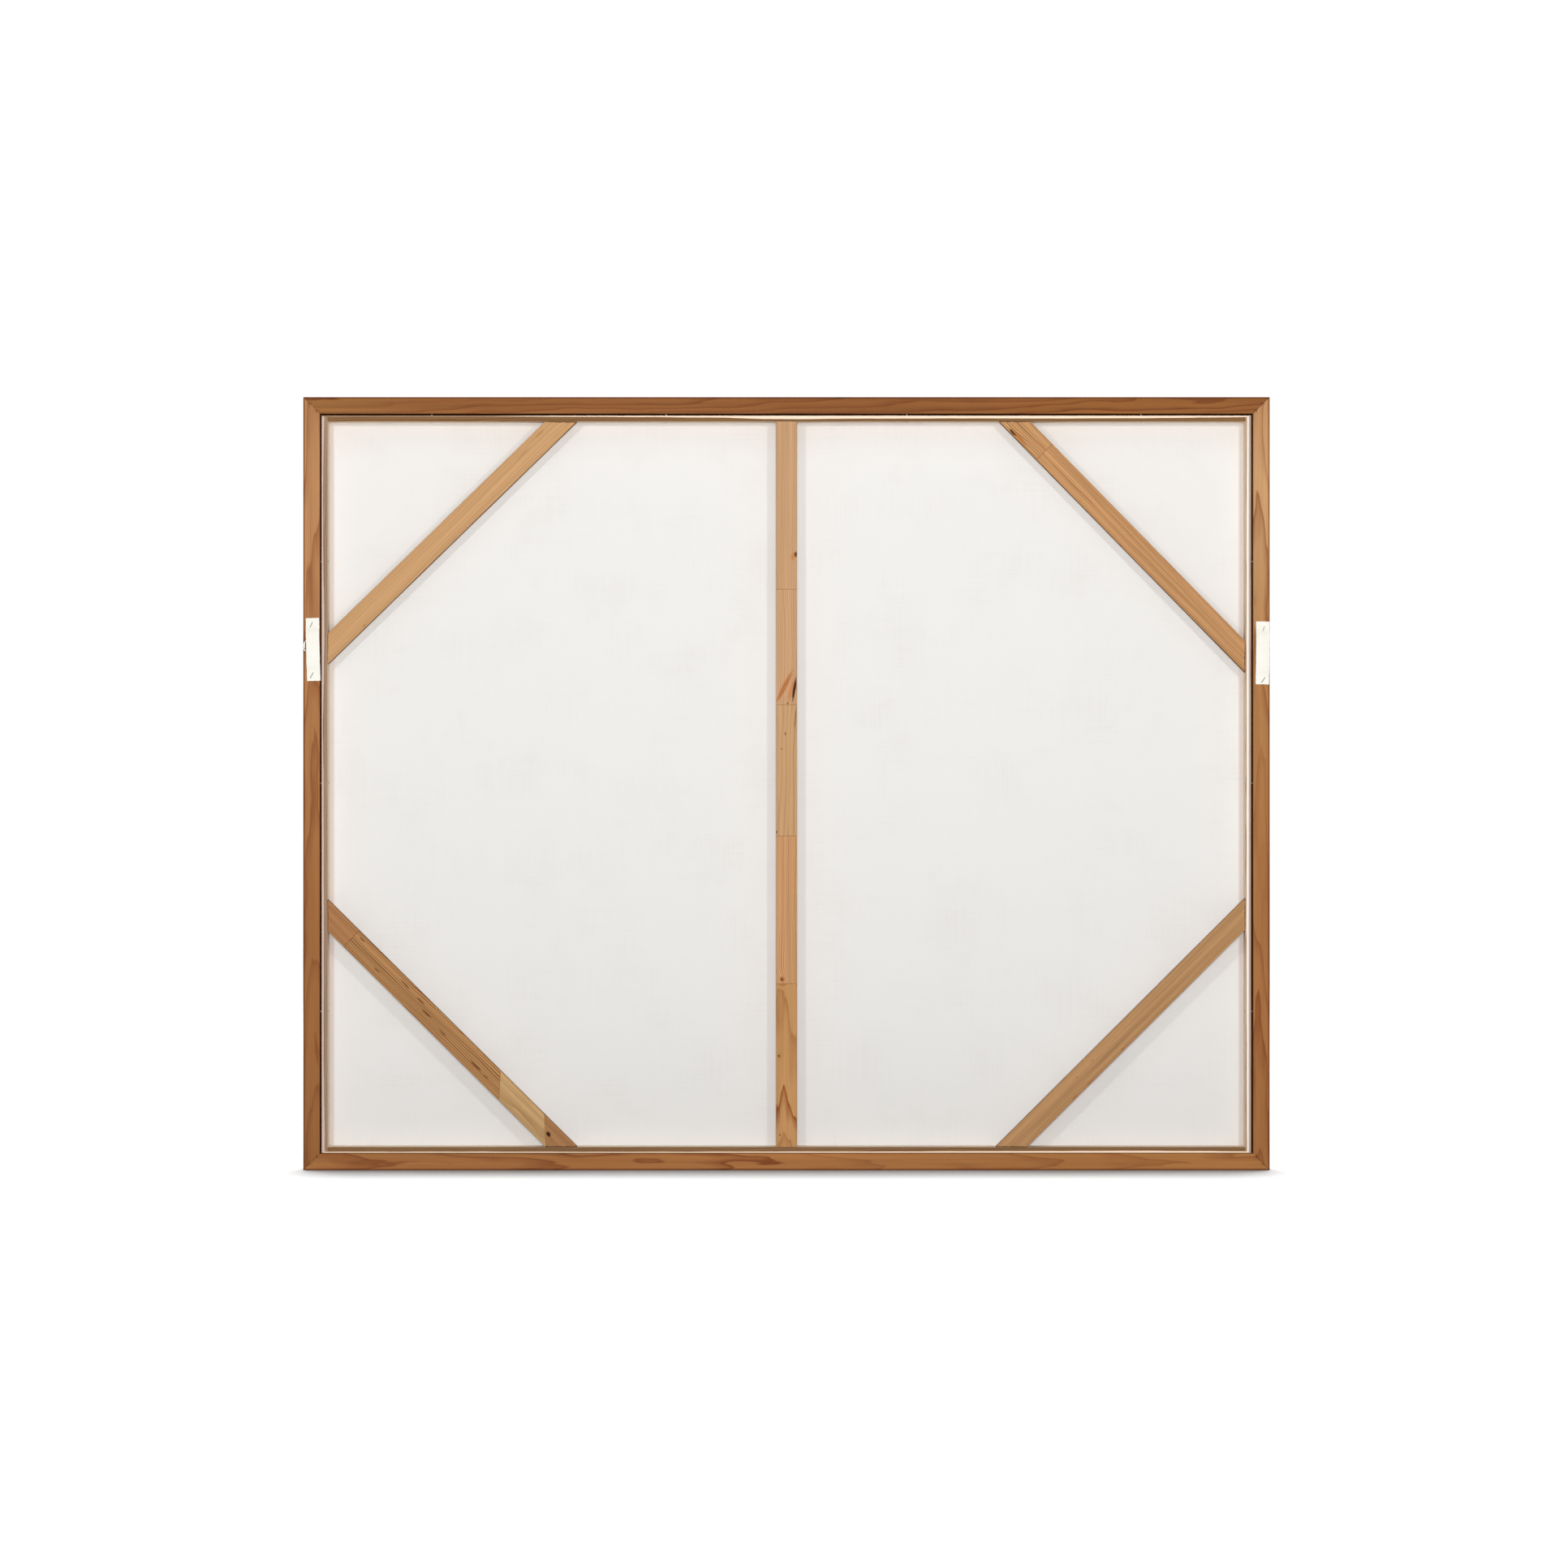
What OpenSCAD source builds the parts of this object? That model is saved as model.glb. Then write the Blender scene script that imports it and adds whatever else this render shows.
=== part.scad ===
// Stretched canvas on a thin strainer, dropped into a rebated picture frame.
// The back faces -Y, the painted face +Y and the bottom edge stands on Z = 0.
// The origin is the middle of the bottom face. Left and right are as seen from behind.

/* [Picture frame] */
// Width over all
frame_w = 1524; // [600:1:2400]
// Height over all
frame_h = 1219; // [500:1:2000]
// Depth from the back face to the front face
frame_d = 45; // [30:0.5:70]
// Width of a rail's back face, from its outer edge to the rebate
rail_w = 26; // [15:0.5:60]
// How far the front lip reaches in past the rebate
lip_w = 6; // [3:0.5:12]
// Thickness of the front lip
lip_t = 7; // [3:0.5:12]
// Chamfer on the outer long edges
edge_ease = 0.8; // [0.2:0.1:3]

/* [Canvas] */
// Thickness of the primed cloth
cloth_t = 0.6; // [0.3:0.1:1.5]
// Open gap between frame and canvas on the left and right
side_gap = 2.5; // [1:0.1:6]
// Open gap between frame and canvas at the top
top_gap = 2.8; // [1:0.1:6]
// Cloth turned over the strainer's back edge on the left
turn_left = 5; // [1:0.5:8.5]
// Cloth turned over the strainer's back edge on the right
turn_right = 8.5; // [1:0.5:9]
// Cloth turned over the strainer's back edge at the top
turn_top = 3.5; // [1:0.5:8.5]
// Cloth turned over the strainer's back edge at the bottom
turn_bottom = 2.5; // [1:0.5:8.5]

/* [Strainer] */
// Thickness of a strainer strip, seen from behind
strip_t = 9; // [6:0.5:25]
// Depth of a strainer strip, from back to front
strip_d = 33; // [18:0.5:45]
// Width of the upright in the middle
center_brace_w = 33; // [20:0.5:60]
// Width of a corner brace
corner_brace_w = 35; // [20:0.5:60]
// Thickness of the braces, from back to front
brace_t = 18; // [8:0.5:25]
// Distance from a strainer corner to where a corner brace starts
brace_leg = 342; // [120:1:500]

/* [Hangers] */
// Height of the pivot of both D-rings above the bottom edge
hanger_z = 819; // [400:1:1100]
// Width of a D-ring outside
ring_w = 21.5; // [14:0.5:40]
// Straight part of a D-ring's sides
ring_side = 9; // [2:0.5:20]
// Thickness of a D-ring's wire
ring_wire = 2.2; // [1.5:0.1:4]
// Width of the strap that holds a D-ring
strap_w = 9; // [6:0.5:14]
// Length of the strap from the pivot to its lower end
strap_l = 27; // [18:0.5:45]
// Width of the cloth strip stapled over a hanger
cover_w = 21; // [12:0.5:40]
// Length of the cloth strip stapled over a hanger
cover_l = 99; // [70:1:140]

/* [Fastenings] */
// Distance between the staples that hold the canvas
staple_pitch = 75; // [40:1:150]
// Width of a staple
staple_w = 10.5; // [6:0.5:14]
// Thickness of staple wire
staple_wire = 0.8; // [0.5:0.1:1.5]
// Length of a nail through the strainer into a brace or corner
nail_l = 30; // [20:1:45]
// Thickness of a nail
nail_d = 2; // [1.2:0.1:3]

/* [Hidden] */
$fn = 32;
// Depths along Y, from the back forwards
back_y = -frame_d / 2;
front_y = frame_d / 2;
lip_y = front_y - lip_t;
strip_front_y = lip_y - cloth_t;
strip_back_y = strip_front_y - strip_d;
turned_y = strip_back_y - cloth_t;
brace_mid_y = strip_back_y + brace_t / 2;
strip_mid_y = strip_front_y - strip_d / 2;
// The canvas stands on the crowns of its lower staples
canvas_w = frame_w - 2 * rail_w - 2 * side_gap;
canvas_bottom = rail_w + staple_wire;
canvas_top = frame_h - rail_w - top_gap;
canvas_h = canvas_top - canvas_bottom;
// Faces of the strainer
strip_out_x = canvas_w / 2 - cloth_t;
strip_in_x = strip_out_x - strip_t;
strip_low_z = canvas_bottom + cloth_t;
strip_high_z = canvas_top - cloth_t;
inner_low_z = strip_low_z + strip_t;
inner_high_z = strip_high_z - strip_t;
strainer_mid_z = (strip_low_z + strip_high_z) / 2;
// Staples that hold the canvas
leg_w = 0.6;
canvas_leg_l = 7.5;
end_margin = 45;
// Pins that hold the strainer in the frame
pin_d = 1.5;
pin_bite = 12;
pin_head_d = 3;
pin_head_t = 0.6;
pin_y = strip_back_y + 8;
pin_heights = [250, 610, 960];
pin_places = [-560, -190, 190, 560];
// How far each hand-cut corner brace starts off the usual leg, as [on the level strip, on the upright]
top_left_slip = [1, -8];
top_right_slip = [-3, 4];
bottom_left_slip = [2, -1];
bottom_right_slip = [2, 1];
// Nail heads lie flush under the canvas
nail_head_d = 3.6;
nail_head_t = 0.7;
nail_sink = nail_head_t + 0.1;
corner_nail_spread = 9;
brace_nail_spread = 9;
// Mitre nails
v_leg = 5.5;
v_wire = 0.7;
v_depth = 7;
v_angle = 35;
v_places = [9, 20];
// Hangers
ring_r = (ring_w - ring_wire) / 2;
strap_t = 0.8;
loop_in = ring_wire / 2 + 0.08;
loop_out = loop_in + strap_t;
hanger_y = back_y - loop_out;
hanger_x = 750.3 / 762 * frame_w / 2;
screw_z = hanger_z - 17;
screw_d = 3.5;
screw_l = 14;
screw_head_d = 6.8;
screw_head_t = 1.6;
// Cloth strips over the hangers
cover_t = 0.5;
cover_staple_wire = 0.6;
cover_leg_l = 6;
left_cover = [-746.3, 821, -1.3];
right_cover = [750.6, 815.5, 0.4];
// Each staple is [x, z, angle of its crown from level]
left_cover_staples = [[-748.4, 780.2, 62], [-749.4, 859.5, 66]];
right_cover_staples = [[751.7, 772.9, 54], [751.6, 852.4, 70]];
wood = "Peru";
pale_wood = "BurlyWood";
steel = "Silver";
cloth = "WhiteSmoke";

// ---- Frame ----

// Section of a rail as [depth, height above its outer edge], with the rebate for the canvas
module rail_section() {
  high = rail_w + lip_w;
  polygon([
    [back_y, edge_ease],
    [back_y, rail_w],
    [lip_y, rail_w],
    [lip_y, high],
    [front_y, high],
    [front_y, edge_ease],
    [front_y - edge_ease, 0],
    [back_y + edge_ease, 0]
  ]);
}

// A rail lying along X with its outer edge down, mitred at both ends
module rail(length) {
  high = rail_w + lip_w + 1;
  intersection() {
    rotate([90, 0, 90]) linear_extrude(length, center = true) rail_section();
    rotate([90, 0, 0]) linear_extrude(2 * frame_d, center = true)
      polygon([[-length / 2, 0], [length / 2, 0], [length / 2 - high, high], [high - length / 2, high]]);
  }
}

module v_nail() {
  translate([0, back_y + v_depth, 0]) rotate([90, 0, 0]) linear_extrude(v_depth)
    for (side = [-1, 1]) rotate(225 + side * v_angle) translate([0, -v_wire / 2]) square([v_leg, v_wire]);
}

module v_nails() {
  for (sx = [-1, 1], sz = [-1, 1], place = v_places)
    translate([sx * (frame_w / 2 - place), 0, frame_h / 2 + sz * (frame_h / 2 - place)])
      scale([sx, 1, sz]) v_nail();
}

module frame_v_nails() {
  color(steel) v_nails();
}

module frame_rail_top() {
  color(wood) difference() {
    translate([0, 0, frame_h]) mirror([0, 0, 1]) rail(frame_w);
    v_nails();
    pins();
  }
}

module frame_rail_bottom() {
  color(wood) difference() {
    rail(frame_w);
    v_nails();
    pins();
  }
}

module side_rail(side) {
  difference() {
    scale([side, 1, 1]) translate([frame_w / 2, 0, frame_h / 2]) rotate([0, -90, 0]) rail(frame_h);
    v_nails();
    pins();
    hanger_screw(side);
    cover_staples(side);
  }
}

module frame_rail_left() {
  color(wood) side_rail(-1);
}

module frame_rail_right() {
  color(wood) side_rail(1);
}

// ---- Strainer ----

module nail() {
  cylinder(h = nail_l, d = nail_d);
  cylinder(h = nail_head_t, d = nail_head_d);
}

// Nails through a side strip into the end of the strip above and below, two at each corner
module corner_nails() {
  for (side = [-1, 1], z = [strip_low_z + strip_t / 2, strip_high_z - strip_t / 2], dy = [-1, 1])
    translate([side * (strip_out_x - nail_sink), strip_mid_y + dy * corner_nail_spread, z])
      rotate([0, -side * 90, 0]) nail();
}

// Where a corner brace starts, as distances from the strainer's inner corner along both strips
function slip(side, up) = up > 0
  ? (side < 0 ? top_left_slip : top_right_slip)
  : (side < 0 ? bottom_left_slip : bottom_right_slip);
function leg(side, up) = [brace_leg, brace_leg] + slip(side, up);

// Nails through the strips into the ends of the braces, two at each end
module brace_nail_set() {
  // A corner brace leans towards its corner as it leaves the strip, so its nails sit on that side
  end_w = corner_brace_w * sqrt(2);
  for (up = [-1, 1]) {
    edge = up > 0 ? strip_high_z - nail_sink : strip_low_z + nail_sink;
    turn = up > 0 ? 180 : 0;
    for (dx = [-1, 1]) translate([dx * brace_nail_spread, brace_mid_y, edge]) rotate([turn, 0, 0]) nail();
    for (side = [-1, 1], share = [0.2, 0.45]) {
      place = leg(side, up) + [share * end_w, share * end_w];
      inner = up > 0 ? inner_high_z - place.y : inner_low_z + place.y;
      translate([side * (strip_in_x - place.x), brace_mid_y, edge]) rotate([turn, 0, 0]) nail();
      translate([side * (strip_out_x - nail_sink), brace_mid_y, inner]) rotate([0, -side * 90, 0]) nail();
    }
  }
}

// Pins through the strainer, across the gap and into the frame
module pin(gap) {
  length = strip_t + cloth_t + gap + pin_bite;
  cylinder(h = length, d = pin_d);
  translate([0, 0, -pin_head_t]) cylinder(h = pin_head_t, d = pin_head_d);
}

module pins() {
  for (side = [-1, 1], z = pin_heights)
    translate([side * strip_in_x, pin_y, z]) rotate([0, side * 90, 0]) pin(side_gap);
  for (x = pin_places) {
    translate([x, pin_y, inner_high_z]) pin(top_gap);
    translate([x, pin_y, inner_low_z]) rotate([180, 0, 0]) pin(staple_wire);
  }
}

// A staple with its crown along X on the plane Z = 0 and its legs pointing down
module staple(wire, leg_l) {
  translate([-staple_w / 2, -wire / 2, 0]) cube([staple_w, wire, wire]);
  for (end = [-1, 1])
    translate([end * (staple_w - leg_w) / 2 - leg_w / 2, -leg_w / 2, -leg_l]) cube([leg_w, leg_w, leg_l]);
}

// The canvas is stapled through the sides of the strips, where the frame hides the crowns
module side_staples() {
  across = canvas_w - 2 * end_margin;
  across_steps = ceil(across / staple_pitch);
  for (i = [0 : across_steps], up = [-1, 1])
    translate([-across / 2 + i * across / across_steps, strip_mid_y, up > 0 ? canvas_top : canvas_bottom])
      rotate([up > 0 ? 0 : 180, 0, 0]) staple(staple_wire, canvas_leg_l);
  along = canvas_h - 2 * end_margin;
  along_steps = ceil(along / staple_pitch);
  for (i = [0 : along_steps], side = [-1, 1])
    translate([side * canvas_w / 2, strip_mid_y, canvas_bottom + end_margin + i * along / along_steps])
      rotate([0, side * 90, 0]) staple(staple_wire, canvas_leg_l);
}

module strainer_fastenings() {
  corner_nails();
  brace_nail_set();
  pins();
  side_staples();
}

module level_strip(z) {
  difference() {
    translate([-strip_in_x, strip_back_y, z]) cube([2 * strip_in_x, strip_d, strip_t]);
    strainer_fastenings();
  }
}

module upright_strip(x) {
  difference() {
    translate([x, strip_back_y, strip_low_z]) cube([strip_t, strip_d, strip_high_z - strip_low_z]);
    strainer_fastenings();
  }
}

module strainer_rail_top() {
  color(pale_wood) level_strip(inner_high_z);
}

module strainer_rail_bottom() {
  color(pale_wood) level_strip(strip_low_z);
}

module strainer_rail_left() {
  color(pale_wood) upright_strip(-strip_out_x);
}

module strainer_rail_right() {
  color(pale_wood) upright_strip(strip_in_x);
}

module strainer_corner_nails() {
  color(steel) corner_nails();
}

module brace_nails() {
  color(steel) brace_nail_set();
}

module fixing_pins() {
  color(steel) pins();
}

module canvas_staples() {
  color(steel) side_staples();
}

// ---- Braces, with their back faces flush with the strainer ----

module center_brace() {
  color(pale_wood) difference() {
    translate([-center_brace_w / 2, strip_back_y, inner_low_z])
      cube([center_brace_w, brace_t, inner_high_z - inner_low_z]);
    brace_nail_set();
  }
}

// Runs at about 45 degrees from one strip to the other, its ends cut to lie against both
module corner_brace(side, up) {
  near = leg(side, up);
  far = near * (1 + corner_brace_w * norm([1 / near.x, 1 / near.y]));
  corner_z = up > 0 ? inner_high_z : inner_low_z;
  difference() {
    translate([side * strip_in_x, strip_back_y, corner_z]) scale([side, 1, up])
      translate([0, brace_t, 0]) rotate([90, 0, 0]) linear_extrude(brace_t)
        polygon([[-near.x, 0], [-far.x, 0], [0, -far.y], [0, -near.y]]);
    brace_nail_set();
  }
}

module corner_brace_top_left() {
  color(pale_wood) corner_brace(-1, 1);
}

module corner_brace_top_right() {
  color(pale_wood) corner_brace(1, 1);
}

module corner_brace_bottom_left() {
  color(pale_wood) corner_brace(-1, -1);
}

module corner_brace_bottom_right() {
  color(pale_wood) corner_brace(1, -1);
}

// ---- Canvas: one cloth over the front, round the sides and just over the back edges ----

module canvas() {
  open_left = -canvas_w / 2 + turn_left;
  open_right = canvas_w / 2 - turn_right;
  open_low = canvas_bottom + turn_bottom;
  open_high = canvas_top - turn_top;
  color(cloth) difference() {
    translate([-canvas_w / 2, turned_y, canvas_bottom]) cube([canvas_w, lip_y - turned_y, canvas_h]);
    translate([-strip_out_x, strip_back_y, strip_low_z])
      cube([2 * strip_out_x, strip_d, strip_high_z - strip_low_z]);
    translate([open_left, turned_y - 1, open_low])
      cube([open_right - open_left, cloth_t + 2, open_high - open_low]);
    side_staples();
    pins();
  }
}

// ---- Hangers ----

// Folded sheet-metal strap: a loop round the ring's bar and a doubled tail with the screw hole
module hanger_strap(side) {
  tail_t = 2 * strap_t;
  difference() {
    intersection() {
      translate([side * hanger_x - strap_w / 2, hanger_y, hanger_z]) rotate([90, 0, 90])
        linear_extrude(strap_w) difference() {
          union() {
            circle(loop_out);
            polygon([[loop_out, 0], [-loop_out, 0], [loop_out - tail_t, -4.5 * loop_out], [loop_out, -4.5 * loop_out]]);
            translate([loop_out - tail_t, -strap_l]) square([tail_t, strap_l]);
          }
          circle(loop_in);
        }
      translate([side * hanger_x, hanger_y, hanger_z]) rotate([90, 0, 0]) linear_extrude(3 * loop_out, center = true) {
        translate([-strap_w / 2, strap_w / 2 - strap_l]) square([strap_w, strap_l]);
        translate([0, strap_w / 2 - strap_l]) circle(strap_w / 2);
      }
    }
    hanger_screw(side);
  }
}

module hanger_strap_left() {
  color(steel) hanger_strap(-1);
}

module hanger_strap_right() {
  color(steel) hanger_strap(1);
}

// Round wire bent to a D: straight bar below, two straight sides and a half circle above
module d_ring(side) {
  translate([side * hanger_x, hanger_y, hanger_z]) {
    rotate([0, 90, 0]) cylinder(h = 2 * ring_r, d = ring_wire, center = true);
    for (end = [-1, 1]) translate([end * ring_r, 0, 0]) {
      sphere(d = ring_wire);
      cylinder(h = ring_side, d = ring_wire);
    }
    translate([0, 0, ring_side]) rotate([90, 0, 0])
      rotate_extrude(angle = 180) translate([ring_r, 0]) circle(d = ring_wire);
  }
}

module d_ring_left() {
  color(steel) d_ring(-1);
}

module d_ring_right() {
  color(steel) d_ring(1);
}

module hanger_screw(side) {
  translate([side * hanger_x, back_y - 2 * strap_t, screw_z]) {
    rotate([-90, 0, 0]) cylinder(h = screw_l, d = screw_d);
    rotate([90, 0, 0]) cylinder(h = screw_head_t, d = screw_head_d);
  }
}

module hanger_screws() {
  color(steel) for (side = [-1, 1]) hanger_screw(side);
}

// Cloth strip that lies on the rail at both ends and humps over the hanger between
module cover_strip(place) {
  half = cover_l / 2;
  rest = 14;
  hump = [[-half, 0], [rest - half, 0], [-23, 4.4], [2, 5.2], [25, 5.6], [half - rest, 0], [half, 0]];
  count = len(hump);
  translate([place.x, back_y, place.y]) rotate([0, place.z, 0]) rotate([90, 0, 90])
    linear_extrude(cover_w, center = true)
      polygon(concat(
        [for (p = hump) [-p.y, p.x]],
        [for (i = [count - 1 : -1 : 0]) [-hump[i].y - cover_t, hump[i].x]]
      ));
}

module cover_staples(side) {
  for (s = side < 0 ? left_cover_staples : right_cover_staples)
    translate([s.x, back_y - cover_t, s.y]) rotate([90, 0, 0]) rotate(s.z)
      staple(cover_staple_wire, cover_leg_l);
}

module cover_strip_left() {
  color(cloth) difference() {
    cover_strip(left_cover);
    cover_staples(-1);
  }
}

module cover_strip_right() {
  color(cloth) difference() {
    cover_strip(right_cover);
    cover_staples(1);
  }
}

module cover_strip_staples() {
  color(steel) for (side = [-1, 1]) cover_staples(side);
}

frame_rail_top();
frame_rail_bottom();
frame_rail_left();
frame_rail_right();
frame_v_nails();
strainer_rail_top();
strainer_rail_bottom();
strainer_rail_left();
strainer_rail_right();
strainer_corner_nails();
center_brace();
corner_brace_top_left();
corner_brace_top_right();
corner_brace_bottom_left();
corner_brace_bottom_right();
brace_nails();
canvas();
canvas_staples();
fixing_pins();
hanger_strap_left();
hanger_strap_right();
d_ring_left();
d_ring_right();
hanger_screws();
cover_strip_left();
cover_strip_right();
cover_strip_staples();
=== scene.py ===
import math
import random

import bmesh
import bpy
from mathutils import Euler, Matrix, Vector, noise


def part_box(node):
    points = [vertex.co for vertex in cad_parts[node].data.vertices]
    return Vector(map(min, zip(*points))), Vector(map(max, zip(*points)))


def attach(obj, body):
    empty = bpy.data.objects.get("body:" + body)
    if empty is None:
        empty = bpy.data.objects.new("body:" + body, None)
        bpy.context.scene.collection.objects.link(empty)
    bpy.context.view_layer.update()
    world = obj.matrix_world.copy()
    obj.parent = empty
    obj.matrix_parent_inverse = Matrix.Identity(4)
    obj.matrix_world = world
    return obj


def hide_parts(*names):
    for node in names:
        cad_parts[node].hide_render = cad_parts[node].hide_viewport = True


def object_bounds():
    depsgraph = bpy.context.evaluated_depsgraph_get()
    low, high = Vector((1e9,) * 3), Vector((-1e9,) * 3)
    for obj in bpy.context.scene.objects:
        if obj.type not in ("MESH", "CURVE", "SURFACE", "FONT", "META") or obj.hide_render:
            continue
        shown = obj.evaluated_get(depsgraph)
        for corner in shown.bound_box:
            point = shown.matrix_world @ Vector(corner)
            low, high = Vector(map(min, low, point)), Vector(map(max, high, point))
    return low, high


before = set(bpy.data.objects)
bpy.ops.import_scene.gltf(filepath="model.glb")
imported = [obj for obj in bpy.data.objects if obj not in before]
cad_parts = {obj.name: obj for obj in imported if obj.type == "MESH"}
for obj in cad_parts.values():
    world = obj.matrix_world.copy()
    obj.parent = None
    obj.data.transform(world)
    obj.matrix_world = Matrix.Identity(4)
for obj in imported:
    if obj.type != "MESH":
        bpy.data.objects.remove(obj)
cad_low, cad_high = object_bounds()

# ---- Strainer strips ----
# Four thin pine strips on edge, planed and butted at the corners, that hold the cloth out to its size.
# The side strips run full height and the level ones stand between them. Raw wood, its edges just broken.
MM = 0.001


def linear(hex_colour):
    """An sRGB hex colour as linear RGBA."""
    parts = [int(hex_colour[i : i + 2], 16) / 255 for i in (1, 3, 5)]
    return [c / 12.92 if c <= 0.04045 else ((c + 0.055) / 1.055) ** 2.4 for c in parts] + [1.0]


def put(tree, kind, inputs=None, stops=(), **settings):
    """Adds a node, 'ShaderNode' being left out of its kind. Each input is a value, or the socket or node
    that is linked to it, a node by its first output. stops are a colour ramp's (place, hex)."""
    node = tree.nodes.new(kind if "Node" in kind else "ShaderNode" + kind)
    for name, value in settings.items():
        setattr(node, name, value)
    for name, value in (inputs or {}).items():
        if isinstance(value, bpy.types.Node):
            value = value.outputs[0]
        if isinstance(value, bpy.types.NodeSocket):
            tree.links.new(value, node.inputs[name])
        else:
            node.inputs[name].default_value = value
    for number, (place, shade) in enumerate(stops):
        elements = node.color_ramp.elements
        stop = elements[number] if number < 2 else elements.new(place)
        stop.position, stop.color = place, linear(shade)
    return node


def blank(name):
    """A new material and its empty node tree."""
    material = bpy.data.materials.new(name)
    material.use_nodes = True
    material.node_tree.nodes.clear()
    return material, material.node_tree


def fit(name, mesh, material, slot, *nodes, body="framed_canvas"):
    """Puts a finished mesh in the scene as the piece that stands for these CAD nodes."""
    piece = bpy.data.objects.new(name, mesh)
    bpy.context.scene.collection.objects.link(piece)
    mesh.materials.clear()
    mesh.materials.append(material)
    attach(piece, body)
    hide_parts(*nodes)
    return piece


TINTED = {"data_type": "RGBA", "blend_type": "MULTIPLY"}
# One growth ring from its early wood to its late wood, which comes in slowly and stops short
GROWTH_RING = [(0.0, "#303030"), (0.12, "#000000"), (0.5, "#3a3a3a"), (0.82, "#c8c8c8"), (0.94, "#ffffff"),
               (1.0, "#505050")]


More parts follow.
